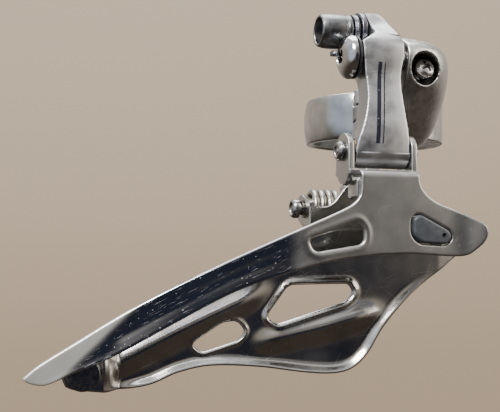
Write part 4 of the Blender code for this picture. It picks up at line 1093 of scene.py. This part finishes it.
def tail_parts():
    """Spacer behind the outer plate's tail, with its screw and washer on the inner side."""
    at, along_y = (TAIL_SCREW.x, 0, TAIL_SCREW.y), (0, 1, 0)
    low, high, back = OUTER_TAIL_BACK, INNER_TAIL_FACE - GAP, INNER_TAIL_FACE + PLATE + GAP
    spacer = [(0, low), (3.3, low), (3.5, low + 0.3), (3.5, low + 1.0), (3.3, low + 1.15), (3.3, low + 1.45),
              (3.5, low + 1.6), (3.5, high - 0.3), (3.3, high), (1.7, high), (1.7, low + 0.8), (0, low + 0.8)]
    lathe("tail_distance_piece", spacer, at, along_y, DARK_STEEL, "cage", "tail_spacer", 0.1, 72)
    seat = back + 0.6
    screw = [(0, low + 1.1), *threaded(1.4, low + 1.1, seat), (1.4, seat + GAP), (2.6, seat + GAP), (2.6, seat + 1.4),
             (2.2, seat + 2.1), (1.6, seat + 2.3), (0, seat + 2.3)]
    lathe("tail_cap_screw", screw, at, along_y, DARK_STEEL, "cage", "tail_screw", 0.12, 48,
          cuts=[hexagon(1.2, seat + 1.1, seat + 3, at, along_y)])
    lathe("tail_flat_washer", washer_profile(1.7, 3.1, back, seat), at, along_y, DARK_STEEL, "cage", "tail_washer",
          0.12, 48)


def shrunk(corners, by):
    middle = sum((Vector(c) for c in corners), Vector((0, 0))) / len(corners)
    return [tuple(Vector(c) - (Vector(c) - middle).normalized() * by) for c in corners]


def chain_guide_insert():
    """Moulded guide pressed through the outer plate, with a rounded rim and a small moulding dimple."""
    outline = resampled(rounded(shrunk(INSERT, GAP + 0.1), 1.2), 0.3)
    made = shape("moulded_insert", prism(outline, OUTER_FACE - 0.7, OUTER_FACE + 2.2, "Y", 0.65, 6))
    combine(made, turned([(0, -1), (0.5, -1), (0.62, 1), (0, 1)], (-2.4, OUTER_FACE - 0.9, -31.3), (0, -1, 0), 28))
    finish_piece(made, INSERT_GREY, "cage", ["chain_guide_insert"], 42)


# ---------------------------------------------------------------- stage

TABLE_COLOUR = (0.80, 0.64, 0.475)


def studio_world():
    """Pale studio for the camera; for reflections a dark room in front, a bright ceiling and a warm table."""
    world = bpy.data.worlds.new("studio")
    world.use_nodes = True
    bpy.context.scene.world = world
    world.node_tree.nodes.clear()
    g = Nodes(world.node_tree)
    way = g.node("TexCoord").outputs["Generated"]
    light = (0.085, 0.068, 0.055)
    for direction, low, high, colour in (((0, 0, 1), -0.5, 0.15, (0.58, 0.52, 0.45)),
                                         ((-0.2, 0.0, 1), 0.45, 0.8, (1.15, 1.15, 1.18)),
                                         ((-1.0, -0.5, 0.35), 0.72, 0.9, (0.75, 0.82, 0.95)),
                                         ((0.12, -0.985, -0.10), 0.86, 0.975, (0.030, 0.033, 0.048)),
                                         ((0.45, -1, 0.62), 0.955, 0.985, (0.30, 0.31, 0.34))):
        towards = g.node("VectorMath", {0: way, 1: tuple(Vector(direction).normalized())}, operation="DOT_PRODUCT")
        light = g.mix(g.step(towards.outputs["Value"], low, high), light, colour)
    seen = g.mix(g.node("LightPath").outputs["Is Camera Ray"], light, TABLE_COLOUR)
    background = g.node("Background", {"Color": seen})
    g.node("OutputWorld", {"Surface": background.outputs[0]})


def area_light(name, position, target, size, power, colour):
    lamp = bpy.data.lights.new(name, "AREA")
    lamp.shape = "RECTANGLE"
    lamp.size, lamp.size_y = size
    lamp.energy = power
    lamp.color = colour
    made = bpy.data.objects.new(name, lamp)
    bpy.context.scene.collection.objects.link(made)
    made.location = position
    made.rotation_euler = (Vector(target) - Vector(position)).to_track_quat("-Z", "Y").to_euler()


def floor():
    """A pale floor that curves up far away; it glows by emission instead of being lit, with painted shade darker near
    the camera and lighter up the far wall.
    """
    profile = [(0.0, -0.17), (0.9, -0.17), (1.3, -0.14), (1.7, 0.0), (2.0, 0.3), (2.1, 0.9), (2.1, 2.4)]
    bm = bmesh.new()
    rings = []
    segments = 72
    for radius, height in profile[1:]:
        rings.append([bm.verts.new((radius * math.cos(a), radius * math.sin(a), height))
                      for a in (2 * math.pi * k / segments for k in range(segments))])
    bm.faces.new(rings[0])
    for low, high in zip(rings, rings[1:]):
        for i in range(segments):
            j = (i + 1) % segments
            bm.faces.new((low[i], low[j], high[j], high[i]))
    mesh = bpy.data.meshes.new("studio_floor")
    bm.to_mesh(mesh)
    bm.free()
    mesh.shade_smooth()
    made = bpy.data.objects.new("studio_floor", mesh)
    bpy.context.scene.collection.objects.link(made)
    g = Graph("pale_floor", 0.8, 0.0)
    away = g.plus(g.split.outputs["Y"], g.split.outputs["Z"])
    g.colour((0.0, 0.0, 0.0))
    g.shader.inputs["Specular IOR Level"].default_value = 0.0
    # Emission colour runs darker near the camera and lighter up the far wall: painted shade on a glowing floor.
    g.link(g.mix(g.step(away, -200, 3600), (0.50, 0.375, 0.26), TABLE_COLOUR), g.shader.inputs["Emission Color"])
    g.shader.inputs["Emission Strength"].default_value = 1.0
    mesh.materials.append(g.made)
    made.visible_glossy = False
    made.visible_shadow = False
    made.visible_diffuse = False


CAMERA_AT = Vector((-0.0901, -0.210, -0.0321))
CAMERA_YAW, CAMERA_PITCH, CAMERA_ROLL = 14.7, 2.2, 0.6


def camera():
    yaw, pitch, roll = (math.radians(a) for a in (CAMERA_YAW, CAMERA_PITCH, CAMERA_ROLL))
    forward = Vector((math.sin(yaw) * math.cos(pitch), math.cos(yaw) * math.cos(pitch), math.sin(pitch)))
    right = forward.cross(Vector((0, 0, 1))).normalized()
    up = right.cross(forward)
    level = Matrix((math.cos(roll) * right + math.sin(roll) * up, math.cos(roll) * up - math.sin(roll) * right,
                    -forward)).transposed()
    lens = bpy.data.cameras.new("photo_view")
    lens.lens, lens.sensor_width, lens.clip_start = 57.9, 36.0, 0.001
    made = bpy.data.objects.new("photo_view", lens)
    made.matrix_world = Matrix.Translation(CAMERA_AT) @ level.to_4x4()
    bpy.context.scene.collection.objects.link(made)
    bpy.context.scene.camera = made


camera()
studio_world()
floor()
area_light("key", (-0.38, -0.42, 0.50), (-0.03, -0.04, -0.01), (0.30, 0.30), 9.0, (1.0, 0.98, 0.95))
area_light("fill", (0.55, -0.30, 0.25), (-0.03, -0.04, -0.02), (0.5, 0.5), 3.0, (1.0, 0.93, 0.85))
area_light("top", (0.0, 0.15, 0.6), (-0.03, -0.03, 0), (0.5, 0.5), 5.0, (1.0, 1.0, 1.0))

fixed_body()
clamp_band()
clamp_hardware()
dome_bolt()
pan_screw("low_stop_screw", *LOW_SCREW, 2.5, "low_limit_body", "low_limit_screw")
pan_screw("high_stop_screw", *HIGH_SCREW, 2.2, "high_limit_body", "high_limit_screw")
outer_link()
cable_anchor()
inner_link()
return_spring()
pivot_pins()
cage_outer_plate()
cage_inner_plate()
cage_inner_bracket()
rivets()
tail_parts()
chain_guide_insert()
